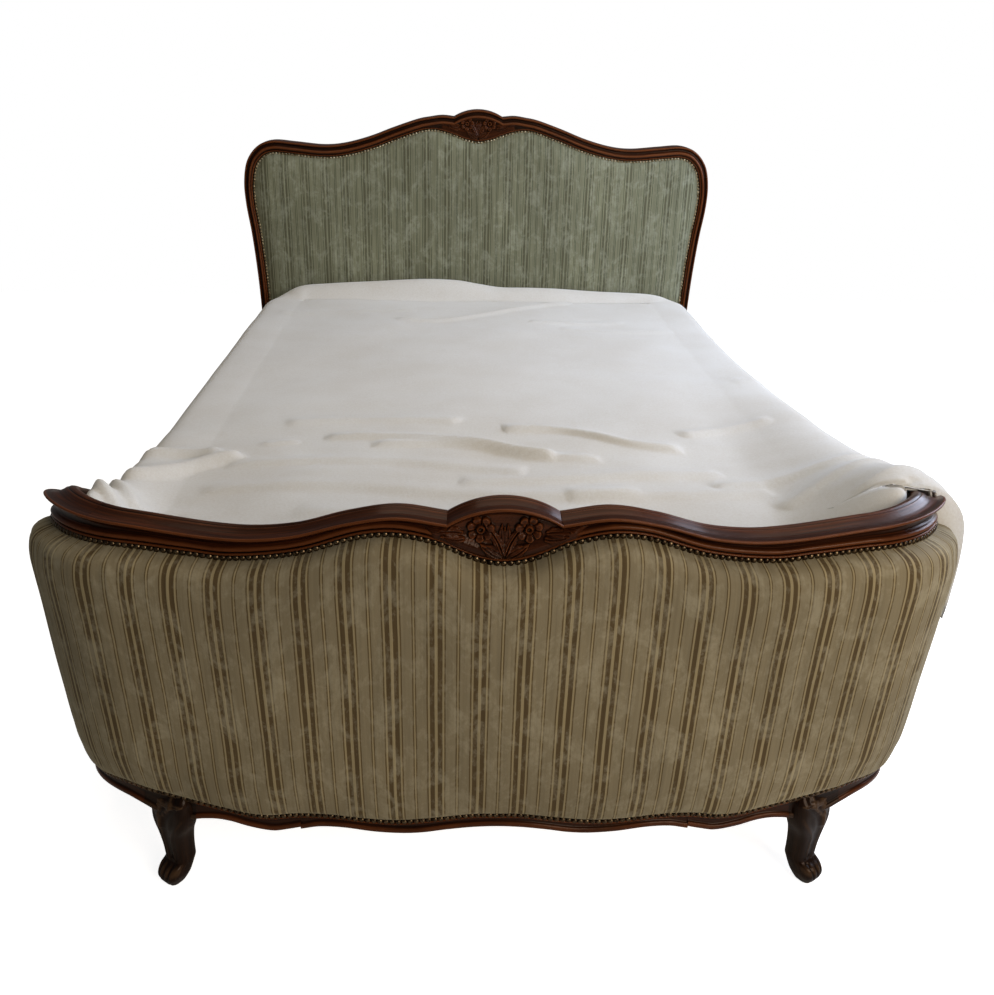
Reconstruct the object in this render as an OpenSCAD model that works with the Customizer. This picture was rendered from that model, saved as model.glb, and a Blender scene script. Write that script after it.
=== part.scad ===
// French basket bed: carved walnut head and foot, nailed velvet panels, slatted base.
// X runs across the bed, Y from the foot to the head and Z up. The origin is on the
// floor, at the middle of the bed's length and width. All sizes are in millimetres.

/* [Mattress and cover] */
// Width of the mattress
mattress_w = 1300; // [1260:5:1330]
// Length of the mattress
mattress_l = 1850; // [1800:5:1950]
// Thickness of the mattress at its sides
mattress_t = 196; // [150:2:205]
// Corner radius of the mattress, seen from above
mattress_r = 120; // [100:5:125]
// Rise of the mattress top from its edge to its middle
mattress_crown = 12; // [4:1:20]
// Thickness of the bed cover
cover_t = 5; // [3:0.5:7]
// How far the cover hangs down the sides of the mattress
cover_drop = 150; // [90:5:170]
// How far the cover hangs outside the right return of the footboard
cover_flap = 200; // [60:5:220]

/* [Footboard] */
// Height of the carved crest of the footboard
foot_h = 742; // [720:2:770]
// Thickness of the moulded rails of the footboard, from front to back
foot_rail_t = 46; // [40:1:56]
// Radius of the bowed front, seen from above
bow_r = 2900; // [2400:50:3600]
// Radius of the two front corners, seen from above
corner_r = 200; // [185:5:215]
// How far the two returns reach back past the front corners
return_l = 178; // [140:5:220]
// Fall of the top rail from the front corner to the end of the return
return_fall = 174; // [120:2:190]
// Free space between the mattress and the foot rail at its middle
foot_gap = 62; // [56:1:90]
// Free space between the mattress and the rail on each side
side_gap = 29; // [22:1:40]
// How far the velvet panel swells out past the rails
foot_swell = 43; // [25:1:55]

/* [Headboard] */
// Height of the carved crest of the headboard
head_h = 1171; // [1150:1:1210]
// Width of the headboard at its widest
head_w = 1474; // [1460:2:1500]
// Thickness of the headboard frame
head_t = 58; // [50:1:66]
// Free space between the mattress and the front of the headboard frame
head_gap = 21; // [14:1:40]
// Width of the moulding across the top
band_top = 42; // [36:1:48]
// Width of the moulding down the sides
band_side = 34; // [30:1:40]
// Swell of the headboard panel over its nailed edge
head_swell = 16; // [6:1:20]
// Height of the lower edge of the headboard panel
head_panel_z = 330; // [290:5:360]

/* [Base] */
// Height of the top of the slats
base_z = 400; // [370:5:410]
// Number of slats
slat_n = 13; // [10:1:16]
// Width of a slat
slat_w = 80; // [60:2:90]
// Thickness of a slat
slat_t = 20; // [16:1:26]
// Height of a side rail
side_rail_h = 150; // [120:5:160]
// Thickness of a side rail
side_rail_t = 28; // [24:1:32]
// Width and height of the bearers that carry the slats
bearer = 32; // [26:1:40]

/* [Legs and posts] */
// Width of the ankle of a front leg
ankle = 46; // [38:1:54]
// Thickness of the posts inside the footboard
post_t = 18; // [14:1:20]
// Height of the rear feet under the lower rail of the headboard
rear_foot_h = 200; // [150:5:230]

/* [Fittings] */
// Head diameter of an upholstery nail
nail_d = 9.5; // [8:0.5:11]
// Distance from one upholstery nail to the next
nail_pitch = 10; // [9.8:0.1:14]
// Thickness of the steel bed fittings
plate_t = 4; // [3:0.5:5]
// Diameter of the bearer screws
screw_d = 6; // [4:0.5:7]

/* [Hidden] */
// Clearances between pieces that meet, round a tenon and behind the velvet
seat = 0.3;
fit = 0.15;
panel_gap = 0.3;
mirror_x = [1, 0, 0];

// Places that follow from the sizes above
rail_x = mattress_w/2 + side_gap + foot_rail_t;
belly_front = -(foot_swell + foot_rail_t + foot_gap + mattress_l + head_gap + head_t)/2;
foot_y = belly_front + foot_swell;
mattress_y = foot_y + foot_rail_t + foot_gap;
head_y = mattress_y + mattress_l + head_gap;
bow_cy = foot_y + bow_r;
corner_x = rail_x - corner_r;
corner_y = bow_cy - sqrt(pow(bow_r - corner_r, 2) - pow(corner_x, 2));
bow_a = asin(corner_x/(bow_r - corner_r));
len_bow = bow_r*bow_a*PI/180;
len_corner = corner_r*(90 - bow_a)*PI/180;
s_corner = len_bow;
s_side = len_bow + len_corner;
s_end = s_side + return_l;
seam_s = s_corner + len_corner*0.2;

// How far the top rail runs down past its nails and how high the bottom rail reaches,
// both hidden behind the velvet panel
rail_under = 14;
low_top = 216;

// Heights of the foot rails along the plan line, as [distance from the middle, height]
crest_half = 83;
crest_arch = 26;
notch_z = foot_h - crest_arch + 1;
end_z = notch_z + 2 - 25 - return_fall;
NOSING = [
    [crest_half, notch_z], [155, notch_z + 9], [225, notch_z - 3], [310, notch_z - 28],
    [400, notch_z - 37], [s_corner, notch_z - 26], [s_corner + 110, notch_z - 22],
    [s_corner + 190, notch_z - 30], [s_side, notch_z - 62], [s_side + return_l*0.55, notch_z - 122],
    [s_end, end_z]];
NAILS_TOP = [
    [-30, foot_h - 87], [0, foot_h - 91], [30, foot_h - 87], [60, foot_h - 76], [95, foot_h - 60],
    [155, foot_h - 48], [210, foot_h - 54], [300, foot_h - 84], [400, foot_h - 99],
    [470, foot_h - 96], [s_corner, foot_h - 92], [s_corner + 110, foot_h - 95],
    [s_corner + 190, foot_h - 104], [s_side, foot_h - 130], [s_side + return_l*0.55, foot_h - 188],
    [s_end, end_z - 37]];
NAILS_LOW = [
    [-40, 191], [0, 192], [40, 191], [98, 182], [160, 174], [216, 175], [270, 179], [324, 177],
    [370, 168], [410, 168], [450, 175], [s_corner - 60, 186], [s_corner, 196],
    [s_corner + 45, 202], [s_corner + 80, 199], [s_corner + 120, 190], [s_corner + 190, 178],
    [s_end, 170]];
APRON_CUSP = 322;
APRON_MID = [
    [-40, 167], [0, 169], [40, 167], [83, 161], [120, 154], [155, 151], [200, 152], [250, 157],
    [290, 156], [APRON_CUSP, 148]];
APRON_SIDE = [
    [APRON_CUSP, 152], [345, 145], [370, 139], [410, 144], [440, 150], [465, 152], [490, 149],
    [515, 143], [s_corner, 150], [s_corner + 30, 162], [s_corner + 60, 169], [s_corner + 100, 168],
    [s_corner + 150, 160], [s_corner + 190, 152], [s_end, 142]];

// Front legs
leg_s = s_corner - 19;
leg_half = 46;
leg_turn = 36;
post_half = 26;
post_out = -20;
tenon_t = 10;
tenon_l = 20;
tenon_side = 8;

// Board behind the velvet of the footboard
board_t = 5;
board_in = post_out + 0.6;
pad_back = board_in + board_t + panel_gap;

// Headboard outline, right half from the top: the crest hump, the long dip, the
// shoulder and the waist down to the rear leg
head_x = head_w/2;
arch_x = 75;
arch_h = 21;
HEAD_EDGE = [
    [-40, head_h - 24], [0, head_h - 25], [40, head_h - 24], [arch_x, head_h - arch_h],
    [112, head_h - 18], [150, head_h - 23], [190, head_h - 31], [265, head_h - 56],
    [341, head_h - 84], [418, head_h - 104], [485, head_h - 110], [head_x - 167, head_h - 103],
    [head_x - 97, head_h - 98.5], [head_x - 50, head_h - 115], [head_x - 15, head_h - 158],
    [head_x - 1, head_h - 220], [head_x - 2, head_h - 290], [head_x - 13, head_h - 381],
    [head_x - 21, head_h - 481], [head_x - 26, head_h - 581], [head_x - 28, head_h - 690],
    [head_x - 28, head_h - 800], [head_x - 28, head_panel_z - 12]];
crest_t = 3;
joint_t = 14.5;
panel_end_t = 20;
nail_end_t = 21.5;
foot_t = 22;
head_arch_r = (arch_x*arch_x + arch_h*arch_h)/(2*arch_h);
BAND = [
    [-1, 95 + band_top - 42], [0, 101 + band_top - 42], [1, 95 + band_top - 42],
    [2, 82 + band_top - 42], [3, 61 + band_top - 42], [4, 53 + band_top - 42],
    [5, 44 + band_top - 42], [6, band_top], [12, band_top], [14, (band_top + band_side)/2],
    [16, band_side], [23, band_side]];
leg_x = head_x - 28;
leg_w = 48;
leg_top = head_panel_z - 10;
panel_d = 38;
panel_t = 6;
lower_d = 20;
lower_t = 28;
lower_tenon = 30;
lower_cheek = 6;
lower_shoulder = 20;

// Base
inner_x = rail_x - foot_rail_t;
side_rail_top = base_z + 12;
side_rail_z = side_rail_top - side_rail_h;
foot_post_y = corner_y + return_l;
end_post_l = 34;
end_post_w = 30;
bearer_z = base_z - slat_t - bearer;
foot_bearer_w = 75;
slat_l = 2*(inner_x - 2);
slat_first = corner_y + slat_w/2;
slat_last = head_y - 60 - slat_w/2;
screw_n = 6;
screw_l = bearer + 16;

// Steel fittings on the ends of the side rails
plate_w = 22;
plate_h = side_rail_h - 40;
plate_z = side_rail_z + 20;
hook_x = inner_x + side_rail_t/2;
hook_t = 4;
hook_h = 18;
hook_drop = 7;
hook_reach = 15;
hook_room = 2;
HOOK_FEET = [12, plate_h - 38];

// Colours
WALNUT = "#4A2A18";
WALNUT_DARK = "#2E180E";
VELVET = "#8A7B5C";
VELVET_HEAD = "#7E8068";
BRASS = "#8A6A35";
STEEL = "#6E7073";
PINE = "#C79B66";
LINEN = "#B9A98A";
TICKING = "#D9D2C2";
COTTON = "#CFCBC2";

SLATS = [for (i = [1:slat_n]) str("slat_", i)];

// Cubic curve through a table of [x, y] pairs
function span(tab, x, i = 0) = i >= len(tab) - 2 || x < tab[i + 1][0] ? i : span(tab, x, i + 1);
function rise(tab, i) =
    i == 0 ? (tab[1][1] - tab[0][1])/(tab[1][0] - tab[0][0]) :
    i == len(tab) - 1 ? (tab[i][1] - tab[i - 1][1])/(tab[i][0] - tab[i - 1][0]) :
    (tab[i + 1][1] - tab[i - 1][1])/(tab[i + 1][0] - tab[i - 1][0]);
function cubic(a, b, ma, mb, t) =
    (2*t*t*t - 3*t*t + 1)*a + (t*t*t - 2*t*t + t)*ma + (3*t*t - 2*t*t*t)*b + (t*t*t - t*t)*mb;
function along(tab, x) =
    let(i = span(tab, x), h = tab[i + 1][0] - tab[i][0], t = (x - tab[i][0])/h)
    cubic(tab[i][1], tab[i + 1][1], rise(tab, i)*h, rise(tab, i + 1)*h, t);

// Point on a smooth curve through a list of points, at a position counted in points
function tangent(path, i) = i == 0 ? path[1] - path[0] :
    i == len(path) - 1 ? path[i] - path[i - 1] : (path[i + 1] - path[i - 1])/2;
function on_path(path, u) =
    let(i = min(floor(u), len(path) - 2), t = u - i)
    cubic(path[i], path[i + 1], tangent(path, i), tangent(path, i + 1), t);
function path_dir(path, u) =
    let(d = on_path(path, min(u + 0.02, len(path) - 1)) - on_path(path, max(u - 0.02, 0)))
    d/norm(d);

// Footboard plan line: a bowed front, two corner arcs and two straight returns.
// foot_at gives the point and its outward direction at a distance from the middle.
function half_at(s) =
    s <= s_corner ? let(a = s/bow_r*180/PI) [bow_r*sin(a), bow_cy - bow_r*cos(a), sin(a), -cos(a)] :
    s <= s_side ? let(a = bow_a + (s - s_corner)/corner_r*180/PI)
        [corner_x + corner_r*sin(a), corner_y - corner_r*cos(a), sin(a), -cos(a)] :
    [rail_x, corner_y + s - s_side, 1, 0];
function foot_at(s) =
    let(p = half_at(abs(s)), m = s < 0 ? -1 : 1) [m*p[0], p[1], m*p[2], p[3]];
function foot_point(s, out, z) = let(p = foot_at(s)) [p[0] + out*p[2], p[1] + out*p[3], z];

// Heights along the plan line: nosing of the top rail, the two rows of nails and the apron
arch_r = (crest_half*crest_half + crest_arch*crest_arch)/(2*crest_arch);
function nosing_z(s) = abs(s) >= crest_half ? along(NOSING, abs(s)) :
    foot_h - arch_r + sqrt(arch_r*arch_r - s*s);
function nail_top_z(s) = along(NAILS_TOP, abs(s));
function nail_low_z(s) = along(NAILS_LOW, abs(s));
function apron_z(s) = abs(s) <= APRON_CUSP ? along(APRON_MID, abs(s)) : along(APRON_SIDE, abs(s));

// Moulding of the top rail as [outward, 0 for heights over the nails or 1 over the nosing,
// height], first from below, then over the nose to the inside
TOP_PROFILE = [
    [-foot_rail_t, 0, -rail_under], [-9, 0, -rail_under], [-4, 0, -7], [-4, 0, 6], [-1, 0, 8],
    [-1, 0, 11], [-6, 0, 13], [-6, 1, -13], [-3, 1, -8], [4, 1, -4], [5, 1, 1], [0, 1, 4],
    [-9, 1, 1.5], [-15, 1, 2.5], [-23, 1, 5.5], [-36, 1, 6], [-foot_rail_t, 1, 1]];
function top_ring(s) = [for (p = TOP_PROFILE)
    foot_point(s, p[0], (p[1] == 1 ? nosing_z(s) : nail_top_z(s)) + p[2])];
function top_heart(s) = foot_point(s, -30, (nosing_z(s) + nail_top_z(s))/2 - 1);

// Moulding of the bottom rail as [outward, 0 for heights over the apron edge, 1 over the
// nails or 2 over the floor, height]
LOW_PROFILE = [
    [-foot_rail_t, 0, 0], [-14, 0, 0], [-5, 0, 2], [0, 0, 6], [-1, 0, 9.5], [-4, 0, 11.5],
    [-5, 1, -6.5], [-9, 1, -5.5], [-10, 2, low_top], [-foot_rail_t, 2, low_top]];
function low_base(s, from) = from == 0 ? apron_z(s) : from == 1 ? nail_low_z(s) : 0;
function low_ring(s) = [for (p = LOW_PROFILE) foot_point(s, p[0], low_base(s, p[1]) + p[2])];
function low_heart(s) = foot_point(s, -22, apron_z(s) + 15);

// Solid skin over a row of closed sections, with its two ends fanned from a point. The
// row runs the way that a right-handed screw moves when it turns along a section.
module skin(rings, ends) {
    n = len(rings[0]);
    m = len(rings);
    points = [for (r = rings) each r, ends[0], ends[1]];
    walls = [for (i = [0:m - 2], j = [0:n - 1])
        let(a = i*n + j, b = i*n + (j + 1) % n)
        each [[a, a + n, b + n], [a, b + n, b]]];
    caps = [for (j = [0:n - 1])
        let(k = (j + 1) % n)
        each [[m*n, j, k], [m*n + 1, (m - 1)*n + k, (m - 1)*n + j]]];
    polyhedron(points, concat(walls, caps), convexity = 8);
}

// Stations along a stretch of rail, about one step apart
function stations(a, b, step) =
    let(n = max(1, ceil(abs(b - a)/step))) [for (i = [0:n]) a + (b - a)*i/n];
function joined(lists) = [for (i = [0:len(lists) - 1])
    each i == 0 ? lists[i] : [for (j = [1:len(lists[i]) - 1]) lists[i][j]]];
function both_ways(list) = concat([for (i = [len(list) - 1:-1:1]) -list[i]], list);
function last(list) = list[len(list) - 1];
function reversed(list) = [for (i = [len(list) - 1:-1:0]) list[i]];
function starting(list, first) = [for (i = [0:len(list) - 1]) i == 0 ? first : list[i]];

// Stations of the footboard, from the middle out, shared by the pieces that meet
BOW_STOPS = joined([stations(0, crest_half, 21), stations(crest_half, s_corner, 44),
    stations(s_corner, seam_s, 28)]);
TURN_STOPS = stations(seam_s, s_side, 28);
return_step = 30;

module both_sides() {
    children();
    mirror(mirror_x) children();
}

module top_moulding(list) {
    back = reversed(list);
    skin([for (s = back) top_ring(s)], [top_heart(back[0]), top_heart(last(back))]);
}

module low_moulding(list) {
    back = reversed(list);
    skin([for (s = back) low_ring(s)], [low_heart(back[0]), low_heart(last(back))]);
}

// A block that follows the plan line: between two stations, two offsets and two heights
module foot_block(a, b, inner, outer, z0, z1, step = 20) {
    list = stations(a, b, step);
    outline = concat([for (s = list) let(p = foot_point(s, outer, 0)) [p[0], p[1]]],
        [for (i = [len(list) - 1:-1:0]) let(p = foot_point(list[i], inner, 0)) [p[0], p[1]]]);
    translate([0, 0, z0])
        linear_extrude(z1 - z0)
            polygon(outline);
}

// A wall between the two rails, from the top of the low rail to the foot of the top rail
wall_mid = 400;
function wall_high(s) = nail_top_z(s) - rail_under;
module foot_wall(list, inner, outer, under = seat) {
    back = reversed(list);
    middle = (inner + outer)/2;
    rings = [for (s = back) let(low = low_top + seat, high = wall_high(s) - under)
        [foot_point(s, inner, low), foot_point(s, outer, low),
         foot_point(s, outer, high), foot_point(s, inner, high)]];
    skin(rings, [foot_point(back[0], middle, wall_mid), foot_point(last(back), middle, wall_mid)]);
}
WALL_STOPS = both_ways(joined([BOW_STOPS, TURN_STOPS,
    stations(s_side, s_end - end_post_l - seat, return_step)]));

// Tenons on the posts of the footboard, and the mortises cut for them
module post_tenon(s, width, grow) {
    foot_block(s - width/2 - grow, s + width/2 + grow, post_out - post_t/2 - tenon_t/2 - grow,
        post_out - post_t/2 + tenon_t/2 + grow, wall_high(s) - 20, wall_high(s) + tenon_l + grow);
}

module low_tenon(a, b, grow) {
    foot_block(a - grow, b + grow, -foot_rail_t + 12 - grow, -foot_rail_t + 26 + grow,
        apron_z(leg_s) + 14 - grow, nail_low_z(leg_s) + 14 + grow, 12);
}

module foot_top_rail() {
    color(WALNUT)
        difference() {
            top_moulding(both_ways(BOW_STOPS));
            both_sides() post_tenon(leg_s, 2*(post_half - tenon_side), fit);
        }
}

module foot_top_return() {
    color(WALNUT)
        difference() {
            top_moulding(joined([starting(TURN_STOPS, seam_s + seat),
                stations(s_side, s_end, return_step)]));
            post_tenon(s_end - end_post_l/2, end_post_l - tenon_side, fit);
        }
}

module foot_bottom_rail() {
    half = joined([stations(0, APRON_CUSP, 36), [APRON_CUSP, APRON_CUSP + 0.6],
        stations(APRON_CUSP + 0.6, leg_s - leg_half, 30)]);
    color(WALNUT)
        union() {
            low_moulding(both_ways(half));
            both_sides() low_tenon(leg_s - leg_half - 20, leg_s - leg_half + 20, 0);
        }
}

module foot_bottom_return() {
    color(WALNUT)
        union() {
            low_moulding(joined([stations(leg_s + leg_half, s_side, 22), stations(s_side, s_end, 60)]));
            low_tenon(leg_s + leg_half - 20, leg_s + leg_half + 20, 0);
        }
}

// Cabriole leg, from its knee to its scrolled toe: for each height the reach of the
// section to the front and to the back, and its half width
LEG = [
    [170, 18, 24, 38], [150, 24, 24, 42], [128, 28, 22, 38], [105, 27, 21, ankle/2 + 5.5],
    [80, 24, 20, ankle/2 + 1.5], [58, 22.5, 20, ankle/2], [46, 22.5, 20, ankle/2],
    [42, 27, 19, ankle/2], [37, 36, 17, ankle/2], [28, 42.5, 13, ankle/2 - 0.5],
    [19, 43.5, 8, ankle/2 - 1.5], [9, 39, 2, ankle/2 - 5.5], [0, 31, -4, ankle/2 - 10.5]];
leg_sides = 16;
leg_square = 0.6;
function swell(v, k) = (v < 0 ? -1 : 1)*pow(abs(v), k);
function leg_ring(row) =
    let(o = foot_point(leg_s, post_out, row[0]), c = cos(leg_turn), n = sin(leg_turn))
    [for (i = [0:leg_sides - 1])
        let(a = 360*i/leg_sides,
            f = (row[1] - row[2])/2 + swell(cos(a), leg_square)*(row[1] + row[2])/2,
            w = swell(sin(a), leg_square)*row[3])
        [o[0] + n*f + c*w, o[1] - c*f + n*w, row[0]]];

module front_leg() {
    centre = foot_point(leg_s, post_out, 0);
    color(WALNUT_DARK)
        difference() {
            union() {
                skin([for (row = reversed(LEG)) leg_ring(row)],
                    [centre, centre + [0, 0, LEG[0][0]]]);
                low_moulding(stations(leg_s - leg_half + seat, leg_s + leg_half - seat, 23));
                foot_block(leg_s - post_half, leg_s + post_half, post_out - post_t, post_out,
                    low_top - 10, wall_high(leg_s) - 1);
                post_tenon(leg_s, 2*(post_half - tenon_side), 0);
            }
            low_tenon(leg_s - leg_half - 30, leg_s - leg_half + 20, fit);
            low_tenon(leg_s + leg_half - 20, leg_s + leg_half + 30, fit);
        }
}

// Hidden posts at the ends of the returns, with the pocket for the steel fitting
module foot_end_post() {
    color(WALNUT_DARK)
        difference() {
            union() {
                foot_wall(stations(s_end - end_post_l, s_end, end_post_l/2), -foot_rail_t,
                    -foot_rail_t + end_post_w, 2*seat);
                post_tenon(s_end - end_post_l/2, end_post_l - tenon_side, 0);
            }
            at_joint(foot_post_y, -1) catch_pocket();
        }
}

module foot_uprights() {
    color(WALNUT_DARK)
        both_sides()
            foot_block(190, 234, post_out - post_t, post_out, low_top + seat, wall_high(234) - 1);
}

// Bowed bearer under the foot end of the mattress
module foot_bearer() {
    color(PINE)
        foot_block(-len_bow + 45, len_bow - 45, -foot_rail_t - foot_bearer_w,
            -foot_rail_t - seat, base_z - bearer, base_z, 60);
}

// Bent board that backs the velvet, and the padded lining on the inside
module foot_panel() {
    color(PINE)
        foot_wall(WALL_STOPS, board_in, board_in + board_t);
}

module foot_inner_pad() {
    color(LINEN)
        foot_wall(WALL_STOPS, -foot_rail_t, post_out - post_t - panel_gap);
}

// Velvet panel: a square shoulder under the top nails, the full swell just below it and
// a long taper down to the low nails. Rows are [share of the swell, height over the top
// nails, height over the low nails, share of the height between them].
PAD_FACE = [
    [-0.02, 4, 0, 1], [0.02, -3, 0, 1], [0.56, -7, 0, 1], [0.8, -17, 0, 1], [0.96, -38, 0, 1],
    [1, -60, 0, 1], [0.88, 0, 0, 0.62], [0.66, 0, 0, 0.32], [0.44, 0, 45, 0], [0.2, 0, 16, 0],
    [-0.02, 0, 3, 0]];
SWELL = [[-1, 1], [0, 1], [s_side, 1], [s_end, 0.62]];
function pad_ring(s) =
    let(top = nail_top_z(s), low = nail_low_z(s), g = foot_swell*along(SWELL, abs(s)),
        under = top - rail_under - 0.5)
    concat(
        [foot_point(s, -8.6, low - 4), foot_point(s, -9.4, low_top + 0.5),
         foot_point(s, pad_back, low_top + 0.5), foot_point(s, pad_back, under),
         foot_point(s, -8.4, under), foot_point(s, -3.6, top - 7.5), foot_point(s, -3.6, top + 4)],
        [for (r = PAD_FACE) foot_point(s, -2 + r[0]*g,
            (low + (top - low)*r[3]) + r[1]*r[3] + r[2])]);
module foot_outer_pad() {
    list = reversed(both_ways(joined([BOW_STOPS, TURN_STOPS,
        stations(s_side, s_end - seat, return_step)])));
    color(VELVET)
        skin([for (s = list) pad_ring(s)], [foot_point(list[0], 0, wall_mid),
            foot_point(last(list), 0, wall_mid)]);
}

// A domed upholstery nail head, its flat side on XY
module nail_head() {
    high = nail_d/3;
    ball = (nail_d*nail_d/4 + high*high)/(2*high);
    rotate_extrude($fn = 20)
        intersection() {
            translate([0, high - ball]) circle(ball, $fn = 40);
            square([nail_d/2, high]);
        }
}

module foot_nail(s, out, z) {
    p = foot_at(s);
    translate(foot_point(s, out, z))
        rotate([0, 0, atan2(p[2], -p[3])])
            rotate([90, 0, 0])
                nail_head();
}

module foot_top_nails() {
    n = floor(s_end/nail_pitch);
    color(BRASS)
        for (i = [-n + 1:n - 1]) foot_nail(i*nail_pitch, -0.9, nail_top_z(i*nail_pitch) + 4);
}

module foot_bottom_nails() {
    n = floor(s_end/nail_pitch);
    color(BRASS)
        for (i = [-n + 1:n - 1]) foot_nail(i*nail_pitch, -4, nail_low_z(i*nail_pitch) - 3.4);
}

// Headboard frame stations. Up to crest_t they run over the crest's arch and after it
// along HEAD_EDGE. Each gives a point of the outline and the way to the inside.
function head_half(t) =
    t <= crest_t ?
        let(x = arch_x*t/crest_t)
        [x, head_h - head_arch_r + sqrt(head_arch_r*head_arch_r - x*x), 0, -1] :
    let(p = on_path(HEAD_EDGE, t), d = path_dir(HEAD_EDGE, t), w = min(1, (t - crest_t)/3),
        v = [w*d[1], -w*d[0] - (1 - w)], u = v/norm(v))
    [p[0], p[1], u[0], u[1]];
function head_at(t) =
    let(p = head_half(abs(t)), m = t < 0 ? -1 : 1) [m*p[0], p[1], m*p[2], p[3], along(BAND, abs(t))];
function head_point(h, a, d) = [h[0] + a*h[2], head_y + d, h[1] + a*h[3]];

// Moulding of the frame as [inward, depth from the front, 0 from the outer edge or
// 1 from the inner edge]
HEAD_PROFILE = [
    [0, head_t, 0], [0, 12, 0], [3, 3, 0], [8, 0, 0], [13, 2, 0], [16, 8, 0], [20, 9, 0],
    [23, 6.5, 0], [26, 9, 0], [-11, 9, 1], [-9, 17, 1], [0, 19, 1], [0, head_t, 1]];
function head_ring(t) =
    let(h = head_at(t), k = min(1, h[4]/42))
    [for (p = HEAD_PROFILE) head_point(h, p[2] == 1 ? h[4] + p[0] : p[0]*k, p[1])];
function head_heart(t) = let(h = head_at(t)) head_point(h, h[4]*0.55, 32);
CROWN_STOPS = joined([stations(0, crest_t, 0.6), stations(crest_t, 12, 0.5),
    stations(12, joint_t, 0.25)]);
STILE_STOPS = joined([stations(joint_t, 16, 0.3), stations(16, panel_end_t, 1)]);

module head_moulding(list) {
    skin([for (t = list) head_ring(t)], [head_heart(list[0]), head_heart(last(list))]);
}

module headboard_top_rail() {
    color(WALNUT)
        head_moulding(both_ways(CROWN_STOPS));
}

module headboard_stile() {
    tenon_h = head_panel_z - rear_foot_h - 2*lower_shoulder;
    color(WALNUT)
        difference() {
            union() {
                head_moulding(concat(starting(STILE_STOPS, joint_t + 0.006), [21, foot_t]));
                translate([leg_x - leg_w, head_y, 0])
                    cube([leg_w, head_t, leg_top]);
            }
            translate([leg_x - leg_w - 1, head_y + lower_d + lower_cheek - fit,
                rear_foot_h + lower_shoulder - fit])
                cube([lower_tenon + 1 + fit, lower_t - 2*lower_cheek + 2*fit, tenon_h + 2*fit]);
            at_joint(head_y, 1) catch_pocket();
        }
}

module headboard_lower_rail() {
    w = 2*(leg_x - leg_w) - 2*seat;
    tenon_h = head_panel_z - rear_foot_h - 2*lower_shoulder;
    color(WALNUT_DARK)
        union() {
            translate([-w/2, head_y + lower_d, rear_foot_h])
                cube([w, lower_t, head_panel_z - rear_foot_h]);
            translate([-w/2 - lower_tenon, head_y + lower_d + lower_cheek,
                rear_foot_h + lower_shoulder])
                cube([w + 2*lower_tenon, lower_t - 2*lower_cheek, tenon_h]);
        }
}

// Stations round the headboard panel: the frame's own, then the straight lower edge
function sill(x, side) = [x, head_panel_z - band_side, side, 1, band_side];
PANEL_STOPS = both_ways(joined([CROWN_STOPS, STILE_STOPS]));
PANEL_LOOP = concat([for (t = PANEL_STOPS) head_at(t)],
    [sill(leg_x, -1)], [for (i = [3:-1:-3]) sill(i*170, 0)], [sill(-leg_x, 1)]);
function panel_ring(a, d) = [for (h = PANEL_LOOP) head_point(h, h[4] + a, d)];

module headboard_panel() {
    color(PINE)
        translate([0, head_y + panel_d + panel_t, 0])
            rotate([90, 0, 0])
                linear_extrude(panel_t)
                    polygon([for (p = panel_ring(seat, 0)) [p[0], p[2]]]);
}

module headboard_pad() {
    middle = [0, head_y, (head_h + head_panel_z)/2 - 20];
    face = -head_swell + 15;
    rows = [[seat, panel_d - seat], [seat, 18.4], [-8, 16.6], [-7, 14.6], [6, 15 - head_swell*0.4],
        [20, 15 - head_swell*0.8], [60, face]];
    inner = [for (p = panel_ring(60, 0))
        [p[0]*0.55, head_y + face - 1, middle[2] + (p[2] - middle[2])*0.55]];
    rings = [for (r = rows) panel_ring(r[0], r[1])];
    color(VELVET_HEAD)
        skin(reversed(concat(rings, [inner])),
            [middle + [0, face - 1.5, 0], middle + [0, panel_d - seat, 0]]);
}

// Even spacing of the headboard nails along the inner edge of the frame
nail_in = -4.5;
NAIL_PATH = [for (t = joined([CROWN_STOPS, STILE_STOPS, [panel_end_t, nail_end_t]]))
    let(h = head_at(t)) head_point(h, h[4] + nail_in, 0)];
function run(path, i = 1, acc = [0]) =
    i >= len(path) ? acc : run(path, i + 1, concat(acc, [last(acc) + norm(path[i] - path[i - 1])]));
NAIL_RUN = run(NAIL_PATH);
function seat_of(d, i = 0) =
    i >= len(NAIL_RUN) - 2 || d < NAIL_RUN[i + 1] ?
        let(t = (d - NAIL_RUN[i])/(NAIL_RUN[i + 1] - NAIL_RUN[i]))
        NAIL_PATH[i] + (NAIL_PATH[i + 1] - NAIL_PATH[i])*t :
    seat_of(d, i + 1);

module headboard_nails() {
    n = floor(last(NAIL_RUN)/nail_pitch);
    color(BRASS)
        for (i = [-n:n]) {
            p = seat_of(abs(i)*nail_pitch);
            translate([i < 0 ? -p[0] : p[0], head_y + 14, p[2]])
                rotate([90, 0, 0])
                    nail_head();
        }
}

// Carving of a crest: a thin ground, two flowers, a fan of leaves between them and a leaf
// to each side. It lies on XZ with the root of the fan at the origin, rising towards -Y.
carving_w = 72;
flower_x = 33;
flower_z = 37;
leaf_root = 3;
module carved(outline, high) {
    rotate([90, 0, 0])
        linear_extrude(high)
            polygon(outline);
}

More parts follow.
